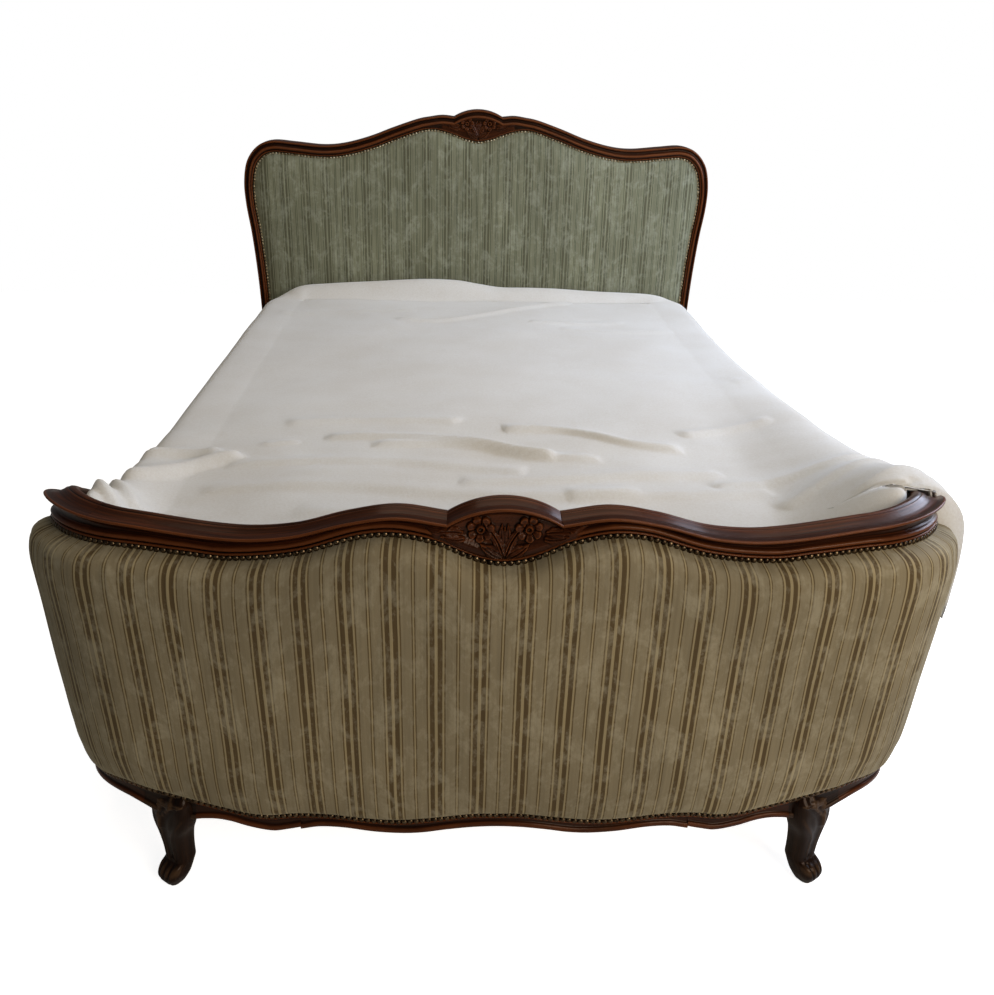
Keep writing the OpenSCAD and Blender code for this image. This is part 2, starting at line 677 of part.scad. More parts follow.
function ground(n = 12) = concat(
    [for (i = [-n:n]) [carving_w*i/n, -4 + 22*i*i/(n*n)]],
    [for (i = [n:-1:-n]) [carving_w*i/n, 56 - 36*i*i/(n*n)]]);
function flower(x) = [for (a = [0:360/42:359])
    [x, flower_z] + (12.5 + 6*abs(cos(3.5*a)))*[cos(a), sin(a)]];
function fan() = concat([[0, 0]], [for (a = [52:76/24:128.1])
    (36 + 14*abs(sin((a - 52)*180/19)))*[cos(a), sin(a)]]);
function leaf(long, wide, angle) = [for (a = [0:30:330])
    let(u = long*(1 - cos(a))/2, v = wide/2*sin(a))
    [u*sin(angle) + v*cos(angle), u*cos(angle) - v*sin(angle)]];

module carving() {
    carved(ground(), 2);
    carved(fan(), 4);
    for (m = [-1, 1]) {
        translate([-m*leaf_root, 0, leaf_root])
            carved(leaf(50, 15, m*62), 5);
        carved(flower(m*flower_x), 6.5);
        translate([m*flower_x, 0, flower_z])
            rotate([90, 0, 0])
                cylinder(h = 9, r = 6, $fn = 24);
    }
}

module headboard_crest() {
    h = head_at(0);
    color(WALNUT)
        translate([0, head_y + 9, h[1] - h[4] + 15])
            carving();
}

module foot_crest() {
    color(WALNUT)
        translate([0, foot_y + 5.6, nail_top_z(0) + 17.6])
            carving();
}

// Steel fittings of a side rail, drawn at the origin along +Y and set in a joint face
module at_joint(y, way) {
    translate([hook_x, y, plate_z])
        rotate([0, 0, way > 0 ? 0 : 180])
            children();
}

module at_hooks() {
    for (z = HOOK_FEET)
        translate([0, 0, z])
            children();
}

// Pocket for the plate and for the hooks, which come in high and drop into the plate
module catch_pocket() {
    translate([-plate_w/2 - fit, -1, -fit])
        cube([plate_w + 2*fit, plate_t + fit + 1, plate_h + 2*fit]);
    at_hooks()
        translate([-hook_t/2 - hook_room, 0, -hook_drop - hook_room])
            cube([hook_t + 2*hook_room, hook_reach + hook_room, hook_h + 2*(hook_drop + hook_room)]);
}

module catch_plate() {
    difference() {
        translate([-plate_w/2, 0, 0]) cube([plate_w, plate_t, plate_h]);
        at_hooks()
            translate([-hook_t/2 - seat, -1, -seat])
                cube([hook_t + 2*seat, plate_t + 2, hook_h + hook_drop + 2*seat]);
    }
}

module bed_hook() {
    translate([-plate_w/2, -plate_t - seat, 0]) cube([plate_w, plate_t, plate_h]);
    at_hooks() {
        translate([-hook_t/2, -plate_t, 0]) cube([hook_t, hook_reach + plate_t, hook_h]);
        translate([-hook_t/2, plate_t + seat, -hook_drop])
            cube([hook_t, hook_reach - plate_t - seat, hook_drop + 1]);
    }
}

module catch_plates() {
    color(STEEL)
        both_sides() {
            at_joint(foot_post_y, -1) catch_plate();
            at_joint(head_y, 1) catch_plate();
        }
}

module bed_hooks() {
    color(STEEL)
        both_sides() {
            at_joint(foot_post_y, -1) bed_hook();
            at_joint(head_y, 1) bed_hook();
        }
}

screw_end = 80;
function screw_y(i) = foot_post_y + screw_end + i*(head_y - foot_post_y - 2*screw_end)/(screw_n - 1);
module screw_holes(grow) {
    for (i = [0:screw_n - 1])
        translate([inner_x - bearer - 1, screw_y(i), bearer_z + bearer/2])
            rotate([0, 90, 0])
                cylinder(h = screw_l + 1 + grow, d = screw_d + 2*grow, $fn = 24);
}

module side_rail() {
    gap = plate_t + 2*seat;
    color(WALNUT)
        difference() {
            translate([inner_x, foot_post_y + seat, side_rail_z])
                cube([side_rail_t, head_y - foot_post_y - 2*seat, side_rail_h]);
            for (y = [foot_post_y - 1, head_y - gap])
                translate([hook_x - plate_w/2 - fit, y, plate_z - fit])
                    cube([plate_w + 2*fit, gap + 1, plate_h + 2*fit]);
            screw_holes(fit);
        }
}

module side_bearer() {
    color(PINE)
        difference() {
            translate([inner_x - bearer, corner_y + 2, bearer_z])
                cube([bearer, head_y - corner_y - 8, bearer]);
            screw_holes(fit);
        }
}

module bearer_screws() {
    color(STEEL)
        both_sides()
            for (i = [0:screw_n - 1])
                translate([inner_x - bearer, screw_y(i), bearer_z + bearer/2])
                    rotate([0, 90, 0]) {
                        cylinder(h = screw_l, d = screw_d, $fn = 24);
                        translate([0, 0, -2.5]) cylinder(h = 2.5, d = screw_d*1.9, $fn = 24);
                    }
}

module slat(i) {
    y = slat_first + (slat_last - slat_first)*i/(slat_n - 1);
    color(PINE)
        translate([-slat_l/2, y - slat_w/2, base_z - slat_t])
            cube([slat_l, slat_w, slat_t]);
}

// Stations round the mattress edge, each as [x, y, outward x, outward y], from the foot
// over the right side, the head and the left side; inset draws the whole loop in
corner_steps = 5;
cloth_stops = [0, 0.004, 0.008, 0.012, 0.03, 0.055, 0.085, 0.12, 0.17, 0.3, 0.45, 0.6, 0.75, 0.9];
function edge_corner(sx, y, from) = [for (k = [0:corner_steps])
    let(a = from + 90*k/corner_steps) [sx*(mattress_w/2 - mattress_r), y, cos(a), sin(a)]];
side_run = mattress_l - 2*mattress_r;
LOOP = concat(
    edge_corner(1, mattress_y + mattress_r, -90),
    [for (k = [1:len(cloth_stops) - 1])
        [mattress_w/2 - mattress_r, mattress_y + mattress_r + side_run*cloth_stops[k], 1, 0]],
    edge_corner(1, mattress_y + mattress_l - mattress_r, 0),
    [for (k = [1:5]) [(mattress_w/2 - mattress_r)*(1 - k/3), mattress_y + mattress_l - mattress_r, 0, 1]],
    edge_corner(-1, mattress_y + mattress_l - mattress_r, 90),
    [for (k = [len(cloth_stops) - 1:-1:1])
        [-(mattress_w/2 - mattress_r), mattress_y + mattress_r + side_run*cloth_stops[k], -1, 0]],
    edge_corner(-1, mattress_y + mattress_r, 180),
    [for (k = [1:5]) [-(mattress_w/2 - mattress_r)*(1 - k/3), mattress_y + mattress_r, 0, -1]]);
function edge_point(e, out, z) =
    [e[0] + (mattress_r + out)*e[2], e[1] + (mattress_r + out)*e[3], z];
top_z = base_z + mattress_t;
mattress_mid = [0, mattress_y + mattress_l/2, 0];

// Rows of the mattress as [outward, height over the base, share of the crown]
MATTRESS_ROWS = [
    [-16, 0, 0], [-4, 6, 0], [0, 16, 0], [-3, 30, 0], [-3, mattress_t - 30, 0],
    [0, mattress_t - 16, 0], [-4, mattress_t - 5, 0], [-16, mattress_t, 0.04], [-50, mattress_t, 0.35]];
function shrunk(ring, k, z) = [for (p = ring)
    [p[0]*k, mattress_mid[1] + (p[1] - mattress_mid[1])*(1 - (1 - k)*0.6), z]];
module mattress() {
    edge = [for (e = LOOP) edge_point(e, -50, 0)];
    rings = concat([for (r = MATTRESS_ROWS)
        [for (e = LOOP) edge_point(e, r[0], base_z + r[1] + r[2]*mattress_crown)]],
        [shrunk(edge, 0.6, top_z + mattress_crown*0.85)]);
    color(TICKING)
        skin(rings, [mattress_mid + [0, 0, base_z], mattress_mid + [0, 0, top_z + mattress_crown]]);
}

// The cover hangs inside the rails where share is negative and over them where it is
// positive: fully over the right return, and in a short gather over the left one.
function inner_at(y) = y >= corner_y ? inner_x :
    corner_x + sqrt(max(0, pow(corner_r - foot_rail_t, 2) - pow(y - corner_y, 2)));
flap_from = corner_y - 45;
FLAP = [[-400, -1], [0, -1], [10, -0.3], [16, 0.3], [21, 0.35], [27.5, 0.5], [34, 0.7], [40, 0.9],
    [70, 1], [150, 1], [185, 0.8], [218, 0.3], [250, -1], [3000, -1]];
GATHER = [[-400, -1], [0, -1], [10, -0.3], [16, 0.3], [50, 0.42], [95, 0.36], [130, 0.42], [180, 0.34],
    [215, 0.3], [250, -1], [3000, -1]];
function linear(tab, x) = let(i = span(tab, x))
    tab[i][1] + (tab[i + 1][1] - tab[i][1])*(x - tab[i][0])/(tab[i + 1][0] - tab[i][0]);
function share(e) = let(y = e[1] + mattress_r*e[3])
    e[2] < 0.35 && e[2] > -0.35 ? -1 : linear(e[2] > 0 ? FLAP : GATHER, y - flap_from);
OVER = [[-400, 0], [0, 0], [60, 0], [110, -4], [170, -36], [250, -68], [3000, -68]];
function over_z(y) = nosing_z(s_corner + 150) + 13 + linear(OVER, y - flap_from);

// Path of the cloth from the mattress edge, as [outward, height]; lift is the layer's
// height over the mattress
function hang_path(e, lift) =
    let(drop = e[3] < -0.5 ? 60 : e[3] > 0.5 ? 30 : cover_drop)
    [[-14, top_z + lift + 1], [lift*0.7, top_z + lift*0.4 - 4], [lift, top_z - 16],
     [lift, top_z - 8 - drop/2], [lift, top_z - drop]];
function over_path(e, lift) =
    let(y = e[1] + mattress_r*e[3], z = over_z(y), edge = mattress_w/2, in = inner_at(y) - edge - 9,
        far = rail_x + foot_swell - edge + 4)
    [[-14, top_z + lift + 1], [in - 5 - lift, top_z + 22], [in - 3 - lift*0.7, z - 6 + lift*0.7],
     [in + 25, z + lift], [far - 6 + lift*0.7, z - 4 + lift*0.7], [far + lift, z - 45],
     [far + lift, z - cover_flap]];
function walked(path, share, k, n) =
    let(u = share*k/n*(len(path) - 1), i = min(floor(u), len(path) - 2))
    path[i] + (path[i + 1] - path[i])*(u - i);
cloth_rows = 6;
function cloth_edge(e, lift, k) =
    let(w = share(e), path = w > 0 ? over_path(e, lift) : hang_path(e, lift))
    walked(path, abs(w), k, cloth_rows - 1);

// Rows on the mattress top as [outward, share of the crown, rise of the rolled head end]
CLOTH_TOP = [[-110, 0.53, 0], [-60, 0.38, 3], [-24, 0.12, 10]];
function ripple(e, y) = (e[3] < -0.5 ? 3*sin(y*4 + e[0]*0.3) : 0);
function cloth_layer(lift) = concat(
    [shrunk([for (e = LOOP) edge_point(e, -110, 0)], 0.55, top_z + lift + mattress_crown*0.93)],
    [for (r = CLOTH_TOP) [for (e = LOOP)
        edge_point(e, r[0], top_z + lift + r[1]*mattress_crown + (e[3] > 0.5 ? r[2] : 0)
            + max(0, ripple(e, r[0])))]],
    [for (k = [0:cloth_rows - 1]) [for (e = LOOP)
        let(p = cloth_edge(e, lift, k)) edge_point(e, p[0], p[1])]]);

module mattress_cover() {
    outside = cloth_layer(cover_t + 1);
    inside = cloth_layer(1);
    color(COTTON)
        skin(concat(inside, reversed(outside)),
            [mattress_mid + [0, 0, top_z + mattress_crown + 1],
             mattress_mid + [0, 0, top_z + mattress_crown + cover_t + 1]]);
}

headboard_top_rail();
mirror(mirror_x) headboard_stile();  // headboard_stile_left
headboard_stile();  // headboard_stile_right
headboard_lower_rail();
headboard_crest();
headboard_panel();
headboard_pad();
headboard_nails();
foot_top_rail();
mirror(mirror_x) foot_top_return();  // foot_top_return_left
foot_top_return();  // foot_top_return_right
foot_crest();
foot_bottom_rail();
mirror(mirror_x) foot_bottom_return();  // foot_bottom_return_left
foot_bottom_return();  // foot_bottom_return_right
mirror(mirror_x) front_leg();  // front_leg_left
front_leg();  // front_leg_right
mirror(mirror_x) foot_end_post();  // foot_end_post_left
foot_end_post();  // foot_end_post_right
foot_uprights();
foot_bearer();
foot_panel();
foot_outer_pad();
foot_inner_pad();
foot_top_nails();
foot_bottom_nails();
mirror(mirror_x) side_rail();  // side_rail_left
side_rail();  // side_rail_right
mirror(mirror_x) side_bearer();  // bearer_left
side_bearer();  // bearer_right
bearer_screws();
bed_hooks();
catch_plates();
for (i = [1:slat_n])
    slat(i - 1);
mattress();
mattress_cover();
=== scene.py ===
"""Basket bed: the visible pieces and their finishes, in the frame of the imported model.

X runs across the bed, Y from the foot to the head and Z up, in metres. Tables of sections
and heights are in millimetres and are turned to metres where they are used.
"""
import logging
import math
from dataclasses import dataclass
from enum import Enum
from typing import Any, Sequence

import bmesh
import bpy
import numpy as np
from mathutils import Matrix, Vector
from numpy.typing import NDArray


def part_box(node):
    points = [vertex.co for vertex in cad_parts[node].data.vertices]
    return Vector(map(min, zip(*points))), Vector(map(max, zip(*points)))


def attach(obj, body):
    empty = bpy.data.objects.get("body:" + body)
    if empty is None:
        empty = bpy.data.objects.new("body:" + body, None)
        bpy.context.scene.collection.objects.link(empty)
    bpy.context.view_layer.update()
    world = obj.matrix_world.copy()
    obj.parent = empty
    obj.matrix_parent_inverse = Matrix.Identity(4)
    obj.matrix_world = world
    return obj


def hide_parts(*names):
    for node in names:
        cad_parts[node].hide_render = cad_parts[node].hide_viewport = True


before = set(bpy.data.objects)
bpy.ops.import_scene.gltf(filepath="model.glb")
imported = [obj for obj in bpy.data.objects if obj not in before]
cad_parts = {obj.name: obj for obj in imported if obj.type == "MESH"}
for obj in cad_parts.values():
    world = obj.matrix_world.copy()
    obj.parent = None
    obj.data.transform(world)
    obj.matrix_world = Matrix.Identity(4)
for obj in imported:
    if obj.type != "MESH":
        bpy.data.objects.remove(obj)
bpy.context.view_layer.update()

MM = 0.001
RAIL_DEPTH = 46 * MM
LEG_HALF = 46 * MM
NAIL_STEP = 10.0
Array = NDArray[np.float64]
Table = tuple[tuple[float, ...], ...]
log = logging.getLogger("basket_bed")


def linear(code: str) -> tuple[float, float, float, float]:
    """Turn an sRGB hex colour into linear red, green, blue and alpha.

    Args:
        code: the colour as "#rrggbb".

    Returns:
        The four linear values.
    """
    parts = [int(code[i:i + 2], 16) / 255 for i in (1, 3, 5)]
    red, green, blue = (p / 12.92 if p <= 0.04045 else ((p + 0.055) / 1.055) ** 2.4 for p in parts)
    return red, green, blue, 1.0


def feed(tree: bpy.types.NodeTree, node: bpy.types.Node, inputs: dict[int | str, Any]) -> None:
    """Set or link a node's inputs.

    Args:
        tree: the node tree.
        node: the node.
        inputs: for each input a value, the socket that feeds it, or the node whose first
            output does.
    """
    for key, value in inputs.items():
        source = value.outputs[0] if isinstance(value, bpy.types.Node) else value
        if isinstance(source, bpy.types.NodeSocket):
            tree.links.new(source, node.inputs[key])
        else:
            node.inputs[key].default_value = source


def add(tree: bpy.types.NodeTree, kind: str, inputs: dict[int | str, Any] | None = None,
        stops: Sequence[tuple[float, tuple[float, ...]]] = (), **settings: Any) -> bpy.types.Node:
    """Add one shader node with its settings, values and links.

    Args:
        tree: the node tree.
        kind: the node's type without its "ShaderNode" prefix.
        inputs: its inputs, as feed takes them.
        stops: the colours of a ramp, each with its place from 0 to 1.
        settings: properties of the node.

    Returns:
        The new node.
    """
    node = tree.nodes.new("ShaderNode" + kind)
    for name, value in settings.items():
        setattr(node, name, value)
    feed(tree, node, inputs or {})
    if stops:
        ramp = node.color_ramp
        while len(ramp.elements) < len(stops):
            ramp.elements.new(1.0)
        for element, (place, colour) in zip(ramp.elements, stops):
            element.position = place
            element.color = colour
    return node


def hermite(t: Array) -> tuple[Array, Array, Array, Array]:
    """Weights of the cubic that joins two points with given slopes.

    Args:
        t: places from 0 at the first point to 1 at the second.

    Returns:
        The weights of the first point, of its slope, of the second point and of its slope.
    """
    return 2 * t**3 - 3 * t**2 + 1, t**3 - 2 * t**2 + t, 3 * t**2 - 2 * t**3, t**3 - t**2


def curve(table: Table, x: Array) -> Array:
    """Read a smooth curve through a table of points.

    The slope at a point is that of the chord between its two neighbours, one-sided at the
    ends, and between two points the value is the Hermite cubic of their heights and slopes.

    Args:
        table: points as (place, height) with rising places.
        x: places to read.

    Returns:
        The heights at those places.
    """
    knots = np.asarray(table, float)
    px, py = knots[:, 0], knots[:, 1]
    slope = np.empty(len(px))
    slope[1:-1] = (py[2:] - py[:-2]) / (px[2:] - px[:-2])
    slope[0] = (py[1] - py[0]) / (px[1] - px[0])
    slope[-1] = (py[-1] - py[-2]) / (px[-1] - px[-2])
    i = np.clip(np.searchsorted(px, x, side="right") - 1, 0, len(px) - 2)
    h = px[i + 1] - px[i]
    start, leave, end, arrive = hermite((x - px[i]) / h)
    return start * py[i] + leave * h * slope[i] + end * py[i + 1] + arrive * h * slope[i + 1]


def spline(control: Array, u: Array) -> Array:
    """Sample soft curves that start and end on their control polygons.

    Each is a uniform cubic B-spline whose two end points are counted three times.

    Args:
        control: control points, shaped (curves, points, values).
        u: places from 0 to 1, shaped (curves, samples).

    Returns:
        The samples, shaped (curves, samples, values).
    """
    ends = np.repeat(control[:, :1], 2, 1), np.repeat(control[:, -1:], 2, 1)
    full = np.concatenate([ends[0], control, ends[1]], 1)
    pieces = full.shape[1] - 3
    place = np.clip(u, 0, 1) * pieces
    i = np.minimum(place.astype(int), pieces - 1)
    t = (place - i)[..., None]
    weights = ((1 - t)**3, 3 * t**3 - 6 * t**2 + 4, -3 * t**3 + 3 * t**2 + 3 * t + 1, t**3)
    return sum(w / 6 * np.take_along_axis(full, (i + k)[..., None], 1)
               for k, w in enumerate(weights))


def kinks(place: float, gap: float) -> tuple[float, float, float, float]:
    """Two places on each side of the middle, a gap apart, that keep a step there sharp."""
    return -place - gap, -place, place, place + gap


def solid(flat: Array, z: Array) -> Array:
    """Join places and heights in millimetres into points in metres.

    Args:
        flat: places, shaped (..., 2).
        z: heights, broadcast over the places.

    Returns:
        The points, shaped (..., 3).
    """
    return np.concatenate([flat, np.broadcast_to(z, flat.shape[:-1])[..., None]], -1) * MM


def smooth(low: float, high: float, x: Array) -> Array:
    """Rise from 0 at low to 1 at high with level ends, by the cubic 3t squared - 2t cubed."""
    t = np.clip((x - low) / (high - low), 0, 1)
    return t * t * (3 - 2 * t)


def bell(x: Array, width: float) -> Array:
    """Bell curve: 1 at 0, and e to the power of less the square of x over the width."""
    return np.exp(-(x / width)**2)


def swells(x: Array, y: Array, size: float, seed: int,
           stretch: tuple[float, float] = (1, 1)) -> Array:
    """Soft random relief: a sum of nine plane sine waves of about one length.

    Args:
        x: places across.
        y: places along.
        size: the usual distance from crest to crest, in the units of x and y.
        seed: picks the directions and phases.
        stretch: how much longer the swells are across and along.

    Returns:
        Heights that stay mostly between -1 and 1.
    """
    rng = np.random.default_rng(seed)
    turn, phase = rng.uniform(0, np.pi, 9), rng.uniform(0, 2 * np.pi, 9)
    rate = 2 * np.pi / size * rng.uniform(0.6, 1.5, 9)
    total = np.zeros(np.broadcast(x, y).shape)
    for k in range(9):
        total = total + np.sin(rate[k] * (np.cos(turn[k]) * x / stretch[0]
                                          + np.sin(turn[k]) * y / stretch[1]) + phase[k])
    return total / 4


def eased(profile: Table, radius: float, span: float) -> Array:
    """Round the corners of a closed section.

    Each corner gives way to three points of the quadratic curve that leaves one side and
    joins the next at the radius's distance, or at 0.36 of a shorter side.

    Args:
        profile: corners as (outward, base, height) in millimetres.
        radius: distance from a corner to where its curve starts.
        span: usual distance between two bases, in millimetres.

    Returns:
        The rounded corners, shaped (points, 3).
    """
    p = np.asarray(profile, float)
    before, after = np.roll(p, 1, 0) - p, np.roll(p, -1, 0) - p

    def reach(side: Array) -> Array:
        """Share of a side that a corner takes."""
        length = np.linalg.norm(np.stack([side[:, 0], side[:, 1] * span + side[:, 2]]), axis=0)
        return np.minimum(radius / np.maximum(length, 1e-6), 0.36)[:, None]

    a, b = p + before * reach(before), p + after * reach(after)
    return np.stack([a, (a + b) / 4 + p / 2, b], 1).reshape(-1, 3)


def wear(profile: Array, span: float, width: float = 1.8) -> Array:
    """How far a hand wears each point of a section: near 1 on edges, below 0 in hollows.

    It is the turning of the section at each point, spread over its neighbours by a bell
    curve of their distance along the section.

    Args:
        profile: the rounded section, shaped (points, 3).
        span: usual distance between two bases, in millimetres.
        width: width of the bell in millimetres.

    Returns:
        One value a point.
    """
    x, z = profile[:, 0], profile[:, 1] * span + profile[:, 2]
    side = np.stack([np.roll(x, -1) - x, np.roll(z, -1) - z], 1)
    heading = np.unwrap(np.arctan2(side[:, 1], side[:, 0]))
    turn = (heading - np.roll(heading, 1) + np.pi) % (2 * np.pi) - np.pi
    turn *= np.sign(turn.sum())
    step = np.linalg.norm(side, axis=1)
    place = np.concatenate([[0], np.cumsum(step)[:-1]])
    gap = np.abs(place[:, None] - place[None])
    gap = np.minimum(gap, step.sum() - gap)
    return np.clip((bell(gap, width) * turn).sum(1) / 0.9, -1, 1)


@dataclass
class Shell:
    """Points with their faces, grouped by the number of corners, and wear per point."""

    points: Array
    faces: list[tuple[NDArray[np.int64], Array]]
    relief: Array

    def volume(self) -> float:
        """Signed volume: the sum over the faces' fans of a corner dot the cross of two others.

        Returns:
            The volume, above 0 where the faces point outward.
        """
        total = 0.0
        for block, _ in self.faces:
            corner = self.points[block]
            for k in range(1, block.shape[1] - 1):
                crossed = np.cross(corner[:, k], corner[:, k + 1])
                total += float(np.einsum("ij,ij->", corner[:, 0], crossed))
        return total / 6

    def outward(self) -> "Shell":
        """Turn every face round if the shell is inside out.

        Returns:
            The shell itself.
        """
        if self.volume() < 0:
            self.faces = [(block[:, ::-1], uv[:, ::-1]) for block, uv in self.faces]
        return self


def shell(grid: Array, uv: Array | None = None, relief: Array | float = 0.0, around: bool = True,
          ends: bool = True) -> Shell:
    """Close a grid of points into a shell.

    Args:
        grid: points shaped (rows, columns, 3).
        uv: texture places in metres, with one column more where the grid runs around. By
            default u runs along the rows by their mean distance and v along the columns.
        relief: wear, broadcast over the grid.
        around: whether the last column joins the first.
        ends: whether the first and last rows are capped.

    Returns:
        The shell, with its faces outward if it is closed.
    """
    rows, cols = grid.shape[:2]
    index = np.arange(rows * cols).reshape(rows, cols)
    if around:
        index = np.concatenate([index, index[:, :1]], 1)
    if uv is None:
        flat = grid.reshape(-1, 3)[index]
        u = np.concatenate([[0], np.cumsum(np.linalg.norm(np.diff(flat, axis=0), axis=2).mean(1))])
        v = np.concatenate([[0], np.cumsum(np.linalg.norm(np.diff(flat, axis=1), axis=2).mean(0))])
        uv = np.stack(np.meshgrid(u, v, indexing="ij"), -1)

    def corners(a: Array) -> Array:
        """The four corners of every cell of a grid."""
        four = np.stack([a[:-1, :-1], a[1:, :-1], a[1:, 1:], a[:-1, 1:]], 2)
        return four.reshape((-1,) + four.shape[2:])

    faces = [(corners(index), corners(uv))]
    if ends:
        last = -1 if around else None
        faces.append((index[:1, :last][:, ::-1], uv[:1, :last][:, ::-1]))
        faces.append((index[-1:, :last], uv[-1:, :last]))
    made = Shell(grid.reshape(-1, 3), faces, np.broadcast_to(relief, (rows, cols)).reshape(-1))
    return made.outward() if around and ends else made


def make(name: str, shells: Sequence[Shell], finish: bpy.types.Material, body: str,
         replaces: Sequence[str] = (), crisp: float = 38.0) -> bpy.types.Object:
    """Put shells into one mesh object that rides on a body.

    Args:
        name: the piece's name.
        shells: its shells.
        finish: its material.
        body: the body that it moves with.
        replaces: the nodes that it stands for.
        crisp: edges that turn more than this many degrees stay sharp.

    Returns:
        The object.
    """
    faces: list[list[int]] = []
    uvs: list[Array] = []
    start = 0
    for part in shells:
        for block, uv in part.faces:
            faces.extend((block + start).tolist())
            uvs.append(uv.reshape(-1, 2))
        start += len(part.points)
    mesh = bpy.data.meshes.new(name)
    mesh.from_pydata(np.concatenate([s.points for s in shells]).tolist(), [], faces)
    flat_uv = np.concatenate(uvs).astype(np.float32).ravel()
    mesh.uv_layers.new(name="UVMap").data.foreach_set("uv", flat_uv)
    relief = mesh.attributes.new("relief", "FLOAT", "POINT")
    relief.data.foreach_set("value", np.concatenate([s.relief for s in shells]).astype(np.float32))
    mesh.polygons.foreach_set("use_smooth", np.ones(len(mesh.polygons), bool))
    mesh.set_sharp_from_angle(angle=math.radians(crisp))
    mesh.materials.append(finish)
    piece = bpy.data.objects.new(name, mesh)
    bpy.context.scene.collection.objects.link(piece)
    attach(piece, body)
    if replaces:
        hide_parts(*replaces)
    log.info("%s: %d faces", name, len(faces))
    return piece


def begin(name: str) -> tuple[bpy.types.Material, bpy.types.NodeTree, bpy.types.Node]:
    """Start a material with an empty principled surface.

    Args:
        name: the finish's name.

    Returns:
        The material, its node tree and its principled node.
    """
    material = bpy.data.materials.new(name)
    material.use_nodes = True
    tree = material.node_tree
    tree.nodes.clear()
    surface = add(tree, "BsdfPrincipled")
    add(tree, "OutputMaterial", {"Surface": surface})
    return material, tree, surface


class Grain(Enum):
    """Which way the grain of a wooden piece runs: the coordinates it follows and their axis."""

    ALONG_PIECE = ("UV", 0)
    ACROSS = ("Object", 0)
    LENGTHWISE = ("Object", 1)
    UPRIGHT = ("Object", 2)


@dataclass(frozen=True)
class Wood:
    """Sawn and planed wood under wax: streaked grain, open pores, worn edges, dark hollows."""

    name: str
    dark: str
    mid: str
    light: str
    worn: str
    soot: str
    roughness: float = 0.34
    coat: float = 0.15
    streak: float = 3.2
    wear: float = 1.0

    def material(self, grain: Grain = Grain.ALONG_PIECE) -> bpy.types.Material:
        """Build the material.

        The streaks are noise stretched 40 times along the grain, one every few millimetres.
        Pores are short dark dashes. The wear of the piece's edges brings out the worn tone,
        broken up by noise, and hollows keep old wax.

        Args:
            grain: the way of the grain.

        Returns:
            The material.
        """
        material, tree, surface = begin(f"{self.name}_{grain.name.lower()}")
        places = add(tree, "TexCoord")
        output, axis = grain.value
        source = places.outputs[output]
        across, along = 1000 / self.streak, 1000 / (self.streak * 40)
        scale = [across] * 3
        scale[axis] = along
        streaks = add(tree, "Mapping", {"Vector": source, "Scale": scale})
        fine = add(tree, "TexNoise", {"Vector": streaks, "Scale": 1.0, "Detail": 5.0,
                                      "Roughness": 0.6, "Distortion": 0.5})
        broad = add(tree, "TexNoise", {"Vector": streaks, "Scale": 0.11, "Detail": 3.0})
        tone = add(tree, "Math", {0: fine, 1: 0.55}, operation="MULTIPLY")
        tone = add(tree, "Math", {0: broad, 1: 0.45, 2: tone}, operation="MULTIPLY_ADD")
        colour = add(tree, "ValToRGB", {0: tone}, stops=(
            (0.36, linear(self.dark)), (0.5, linear(self.mid)), (0.66, linear(self.light))))
        relief = add(tree, "Attribute", attribute_name="relief").outputs["Fac"]
        patches = add(tree, "TexNoise", {"Vector": places.outputs["Object"], "Scale": 14.0,
                                         "Detail": 4.0, "Roughness": 0.65})
        rub = add(tree, "Math", {0: patches, 1: 1.5, 2: -0.75}, operation="MULTIPLY_ADD")
        rub = add(tree, "Math", {0: relief, 1: rub}, operation="ADD")
        rub = add(tree, "MapRange", {0: rub, 1: 0.22, 2: 0.95, 3: 0.0, 4: 0.6 * self.wear})
        worn = add(tree, "Mix", {0: rub, 6: colour, 7: linear(self.worn)}, data_type="RGBA")
        hollow = add(tree, "MapRange", {0: relief, 1: -0.08, 2: -0.8, 3: 0.0, 4: 0.8})
        waxed = add(tree, "Mix", {0: hollow, 6: worn.outputs[2], 7: linear(self.soot)},
                    data_type="RGBA")
        dashes = add(tree, "Mapping", {
            "Vector": source, "Scale": [v * (2.6 if v == along else 3.4) for v in scale]})
        pores = add(tree, "TexNoise", {"Vector": dashes, "Scale": 1.0, "Detail": 1.0})
        pores = add(tree, "MapRange", {0: pores, 1: 0.63, 2: 0.72, 3: 0.0, 4: 0.55})
        final = add(tree, "Mix", {0: pores, 6: waxed.outputs[2], 7: linear(self.dark)},
                    data_type="RGBA")
        gloss = add(tree, "MapRange", {0: patches, 1: 0.3, 2: 0.7, 3: self.roughness - 0.07,
                                       4: self.roughness + 0.11})
        height = add(tree, "Math", {0: fine, 1: pores}, operation="SUBTRACT")
        bump = add(tree, "Bump", {"Height": height, "Strength": 0.35, "Distance": 0.0005})
        feed(tree, surface, {
            "Base Color": final.outputs[2], "Roughness": gloss, "Normal": bump,
            "Coat Weight": self.coat, "Coat Roughness": 0.16, "Coat Tint": linear("#f2d8bd"),
            "Specular IOR Level": 0.16, "Specular Tint": linear("#e0a878")})
        return material


